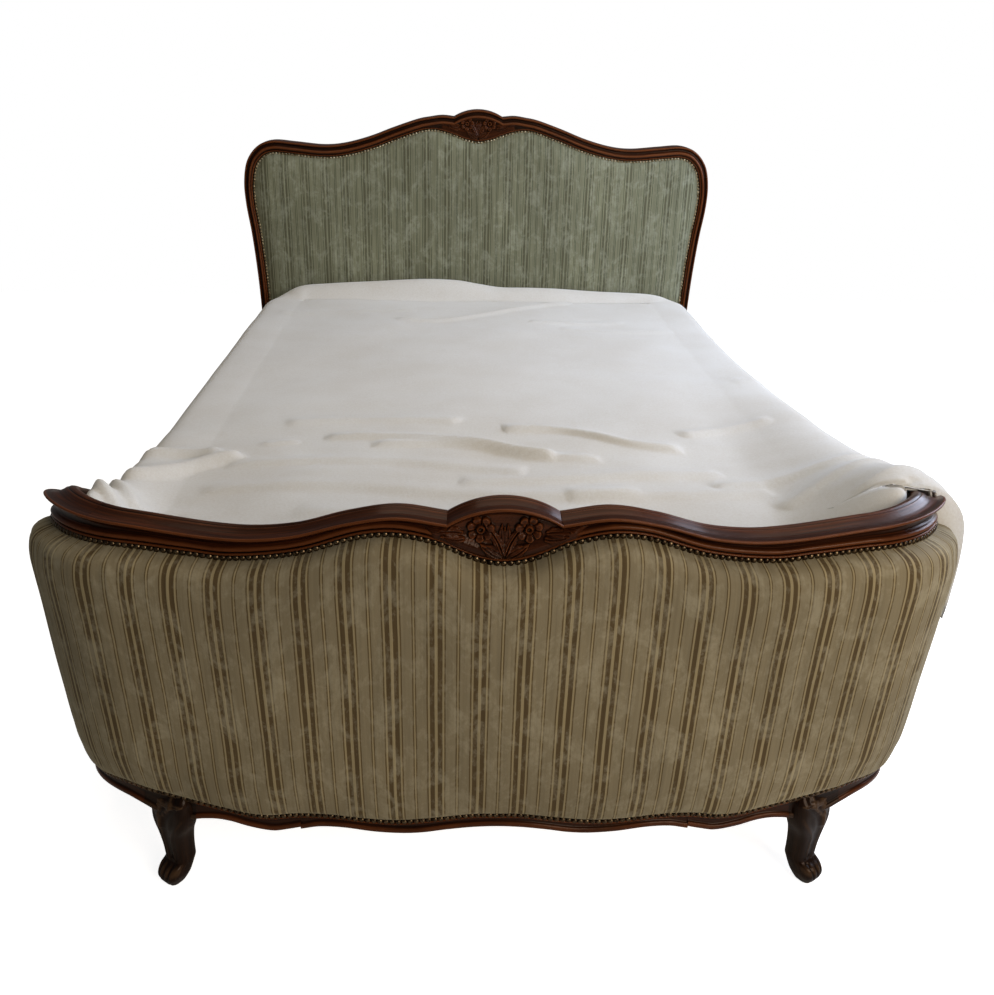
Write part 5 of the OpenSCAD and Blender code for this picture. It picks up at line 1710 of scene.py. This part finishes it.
    def lift(self, x: Array, y: Array) -> Array:
        """How far the cover stands over the mattress's edge, bunched up in the basket.

        Args:
            x: places across in millimetres.
            y: places along in millimetres.

        Returns:
            The heights in millimetres.
        """
        return (smooth(470, 668, x) * curve(self.LIFT_RIGHT, np.clip(y, -890, 300))
                + smooth(-560, -668, x) * curve(self.LIFT_LEFT, np.clip(y, -880, -300)))

    def room(self, x: Array, y: Array) -> Array:
        """Free width from the mattress's edge to the basket's lining.

        Args:
            x: places across in millimetres.
            y: places along in millimetres.

        Returns:
            The widths in millimetres.
        """
        plan, wide = self.plan, np.abs(x)
        middle, corner = plan.corner_x / MM, plan.corner_y / MM
        beside = (plan.corner_r - RAIL_DEPTH) / MM - np.hypot(wide - middle, y - corner)
        before = (plan.bow_r - RAIL_DEPTH) / MM - np.hypot(wide, y - plan.bow_cy / MM)
        return np.where(y < corner, np.where(wide > middle, beside, before), self.side_gap)

    def cover(self) -> None:
        """Make the cover.

        Each place on the mattress's edge has three curves of thirteen points: one hangs down
        beside the mattress, one climbs the return's rail and hangs outside it, and one rolls
        over at the head. They are mixed by shares that change along the edge, rounded to a
        spline, cut to the cloth's length there and followed in rows. At the tuck, where the
        return begins, the cloth is short. Inside, rings are drawn to the bed's middle line
        and raised by the folds.
        """
        t = np.arange(112) / 112
        centres, ways = self.loop((106, 88), 0.45 * t + 0.55 * t**2.2, (24, 12))
        edge = centres + ways * self.radius
        x, y = edge.T
        right = ways[:, 0] > 0
        past = y - self.tuck_y
        over = np.where(right, smooth(-6, 0, past) * curve(self.OVER_RETURN, np.clip(y, -620, 400)),
                        0.0)
        kept = np.where(past < 0, 1 - 0.7 * smooth(-16, -6, past), 0.3 + 0.7 * smooth(0, 14, past))
        length = np.where(right, kept, 1.0)
        rolled = smooth(0.15, 0.85, ways[:, 1])
        run = np.cumsum(np.linalg.norm(np.diff(edge, axis=0, prepend=edge[-1:]), axis=1))
        free = smooth(-600, -480, y)
        wave = ((5.0 * swells(run, 0 * run, 150.0, 41) + 2.0 * swells(run, 0 * run, 60.0, 42))
                * (0.2 + 0.8 * free))
        gap = np.minimum(self.room(x, y) - self.cloth_over, 24 + free * np.where(right, 14, 6))
        raised = self.lift(x + 20 * np.sign(x), y)
        drop = np.where(ways[:, 1] < -0.5, self.foot_drop, self.drop) + raised
        hem = curve(self.HEM, np.clip(x, -650, 641))
        ones = np.ones(len(x))

        def path(points: Sequence[tuple[Array | float, Array | float]]) -> Array:
            """Stack one curve's points as [place, point, outward and height]."""
            return np.stack([np.stack([a * ones, b * ones], 1) for a, b in points], 1)

        low = [(gap + wave * f, -26 - (drop - 26) * f) for f in (0.2, 0.4, 0.6, 0.8, 1.0)]
        hang = path([(-90, 0), (-66, 1), (-44, 1), (-22, 1), (-4, 0), (0.45 * gap, -3),
                     (0.85 * gap, -10), (gap, -26)] + low)
        end = self.top + raised - self.flap_end
        dip = 15 * (1 - smooth(2, 52, past))
        across = path([(-90, 0), (-60, 0), (-30, 1), (0, 2 - 0.5 * dip), (24, 3 - dip),
                       (46, 2 - dip), (72, -3 - dip), (97, -20 - 0.8 * dip),
                       (115, -48 - 0.4 * dip), (124, -85), (127, -85 - (end - 85) / 3),
                       (125, -85 - (end - 85) / 1.5), (122, -end)])
        rolls = path([(-90, -1), (-78, 0.05 * hem), (-66, 0.35 * hem), (-50, 0.72 * hem),
                      (-32, 0.95 * hem), (-14, hem), (2, 0.86 * hem), (9, 0.5 * hem),
                      (9, 0.1 * hem), (8, -16), (7.3, -22), (6.6, -28), (6, -34)])
        mix, turned = over[:, None, None], rolled[:, None, None]
        control = (hang * (1 - mix) + across * mix) * (1 - turned) + rolls * turned
        k = np.linspace(0, 1, 34)[None] * length[:, None]
        rows = spline(control, k)
        rim = centres[:, None] + ways[:, None] * (self.radius + rows[..., :1])
        on_top = 1 - smooth(0.35, 0.6, k)
        lifted = self.lift(rim[..., 0], rim[..., 1]) * on_top + raised[:, None] * (1 - on_top)
        rim_z = self.top + rows[..., 1] + lifted + self.creases(rim[..., 0], rim[..., 1]) * on_top
        outer = solid(rim, rim_z).transpose(1, 0, 2)
        q = np.linspace(1, 0, 57)[:-1]
        inner = self.drawn_in(rim[:, 0], q)
        x, y = inner[..., 0], inner[..., 1]
        inner_z = (self.top + self.crown * np.sin(np.pi / 2 * np.minimum(q * 1.15, 1))[:, None]
                   + self.lift(x, y) + self.creases(x, y))
        grid = np.concatenate([solid(inner, inner_z), outer])
        cover = make("cotton_cover", [shell(grid[::-1], ends=False)], COTTON.material(), "bedding",
                     ("mattress_cover",), crisp=180)
        joined = bmesh.new()
        joined.from_mesh(cover.data)
        bmesh.ops.remove_doubles(joined, verts=joined.verts, dist=0.01 * MM)
        if sum(face.normal.z * face.calc_area() for face in joined.faces) < 0:
            bmesh.ops.reverse_faces(joined, faces=joined.faces)
        joined.to_mesh(cover.data)
        joined.free()
        wall = cover.modifiers.new("wall", "SOLIDIFY")
        wall.thickness, wall.offset = self.cloth_wall * MM, 1.0

    def build(self) -> None:
        """Make the mattress and its cover."""
        self.mattress()
        self.cover()


@dataclass
class HiddenParts:
    """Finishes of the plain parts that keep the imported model's own shape."""

    WALNUT_ALONG: tuple[str, ...] = ("side_rail_left", "side_rail_right")
    # Posts, uprights and the lower rail take the darker walnut, whose dark tones are painted shade
    SHADED_UPRIGHT: tuple[str, ...] = ("foot_end_post_left", "foot_end_post_right", "foot_uprights")
    SHADED_ACROSS: tuple[str, ...] = ("headboard_lower_rail",)
    PINE_ACROSS: tuple[str, ...] = ("foot_panel", "foot_bearer")
    PINE_UPRIGHT: tuple[str, ...] = ("headboard_panel",)
    PINE_ALONG: tuple[str, ...] = ("bearer_left", "bearer_right")
    METAL: tuple[str, ...] = ("bearer_screws", "bed_hooks", "catch_plates")

    def dress(self) -> None:
        """Give every kept node its material, by the way that its grain runs."""
        slats = tuple(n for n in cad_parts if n.startswith("slat_"))
        for names, finish in (
                (self.WALNUT_ALONG, WALNUT.material(Grain.LENGTHWISE)),
                (self.SHADED_UPRIGHT, SHADED_WALNUT.material(Grain.UPRIGHT)),
                (self.SHADED_ACROSS, SHADED_WALNUT.material(Grain.ACROSS)),
                (self.PINE_ACROSS + slats, PINE.material(Grain.ACROSS)),
                (self.PINE_UPRIGHT, PINE.material(Grain.UPRIGHT)),
                (self.PINE_ALONG, PINE.material(Grain.LENGTHWISE)),
                (self.METAL, STEEL.material())):
            for name in names:
                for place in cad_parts[name].material_slots:
                    place.material = finish
        log.info("plain parts dressed: %d slats", len(slats))


@dataclass
class Studio:
    """Camera at the photograph's place, pale floor and soft lamps."""

    place: tuple[float, float, float] = (-0.076, -2.236, 1.319)
    yaw: float = 1.55
    pitch: float = 23.84
    roll: float = 0.99
    lens: float = 35.385
    shift: tuple[float, float] = (0.0214, -0.0081)

    def camera(self) -> None:
        """Set the camera, with a frame 36 mm wide, turned by yaw, pitch and roll in degrees."""
        yaw, pitch, roll = (math.radians(v) for v in (self.yaw, self.pitch, self.roll))
        ahead = Vector((math.sin(yaw) * math.cos(pitch), math.cos(yaw) * math.cos(pitch),
                        -math.sin(pitch)))
        right = Vector((math.cos(yaw), -math.sin(yaw), 0))
        up = right.cross(ahead)
        level, rising = math.cos(roll), math.sin(roll)
        axes = right * level + up * rising, up * level - right * rising, -ahead
        data = bpy.data.cameras.new("camera")
        data.lens, data.sensor_width = self.lens, 36.0
        data.shift_x, data.shift_y = self.shift
        camera = bpy.data.objects.new("camera", data)
        camera.matrix_world = Matrix(axes).transposed().to_4x4()
        camera.location = self.place
        bpy.context.scene.collection.objects.link(camera)
        bpy.context.scene.camera = camera

    def lamp(self, name: str, place: tuple[float, float, float], target: tuple[float, float, float],
             size: tuple[float, float], power: float, colour: str) -> None:
        """Hang one soft lamp that faces a target.

        Args:
            name: the lamp's name.
            place: where it hangs.
            target: what it faces.
            size: its width and height.
            power: its power in watts.
            colour: its colour.
        """
        data = bpy.data.lights.new(name, "AREA")
        data.shape, data.size, data.size_y = "RECTANGLE", *size
        data.energy, data.color = power, linear(colour)[:3]
        lamp = bpy.data.objects.new(name, data)
        lamp.location = place
        lamp.rotation_euler = (Vector(target) - Vector(place)).to_track_quat("-Z", "Y").to_euler()
        bpy.context.scene.collection.objects.link(lamp)

    def floor(self) -> None:
        """Lay the pale floor. It shows white to the camera but keeps a soft shadow."""
        size, level = 3.6, -1 * MM
        mesh = bpy.data.meshes.new("floor")
        mesh.from_pydata([(-size, -size, level), (size, -size, level), (size, size, level),
                          (-size, size, level)], [], [(0, 1, 2, 3)])
        material, tree, surface = begin("pale_floor")
        feed(tree, surface, {"Base Color": linear("#e6e6e4"), "Roughness": 0.9,
                             "Specular IOR Level": 0.0})
        glow = add(tree, "Emission", {"Color": (1, 1, 1, 1), "Strength": 0.88})
        lit = add(tree, "AddShader", {0: glow, 1: surface})
        path = add(tree, "LightPath")
        mixed = add(tree, "MixShader", {0: path.outputs["Is Camera Ray"], 1: surface, 2: lit})
        feed(tree, next(n for n in tree.nodes if n.type == "OUTPUT_MATERIAL"), {"Surface": mixed})
        mesh.materials.append(material)
        floor = bpy.data.objects.new("floor", mesh)
        bpy.context.scene.collection.objects.link(floor)

    def world(self) -> None:
        """Light the room softly from all sides, with white behind the bed for the camera."""
        world = bpy.data.worlds.new("room")
        world.use_nodes = True
        tree = world.node_tree
        tree.nodes.clear()
        path = add(tree, "LightPath")
        seen = add(tree, "Background", {"Color": (1, 1, 1, 1), "Strength": 1.0})
        room = add(tree, "Background", {"Color": linear("#e9edf2"), "Strength": 0.13})
        mixed = add(tree, "MixShader", {0: path.outputs["Is Camera Ray"], 1: room, 2: seen})
        add(tree, "OutputWorld", {"Surface": mixed})
        bpy.context.scene.world = world

    def build(self) -> None:
        """Set the view, the room and the lamps."""
        bpy.context.scene.view_settings.view_transform = "Standard"
        self.floor()
        self.world()
        self.lamp("window", (2.0, 0.3, 1.6), (0.0, 0.6, 0.75), (1.5, 1.3), 56.0, "#d6e4ff")
        self.lamp("ceiling", (0.3, 0.0, 3.4), (0.1, 0.0, 0.5), (3.0, 3.0), 44.0, "#fff4e4")
        self.lamp("room_side", (1.9, -3.2, 1.9), (0.1, -0.9, 0.4), (2.0, 1.6), 62.0, "#fff1e0")


def main() -> None:
    """Build the bed piece by piece."""
    logging.basicConfig(level=logging.INFO, format="%(name)s %(message)s")
    studio = Studio()
    studio.camera()
    rail_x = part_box("side_rail_right")[0].x + RAIL_DEPTH
    plan = PlanLine(rail_x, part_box("foot_bottom_rail")[0].y)
    heights = FootHeights(plan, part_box("foot_top_rail")[1].z - 6 * MM)
    rails = FootRails(plan, heights)
    rails.build()
    CrestCarving().on_foot(plan, heights, WALNUT.material())
    FrontLeg(plan, heights, rails).build()
    FootUpholstery(plan, heights).build()
    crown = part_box("headboard_top_rail")
    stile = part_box("headboard_stile_right")
    Headboard(crown[1].z, stile[1].x - 0.2 * MM, crown[0].y).build()
    Bedding(plan, *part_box("mattress")).build()
    HiddenParts().dress()
    studio.build()


if __name__ == "__main__":
    main()
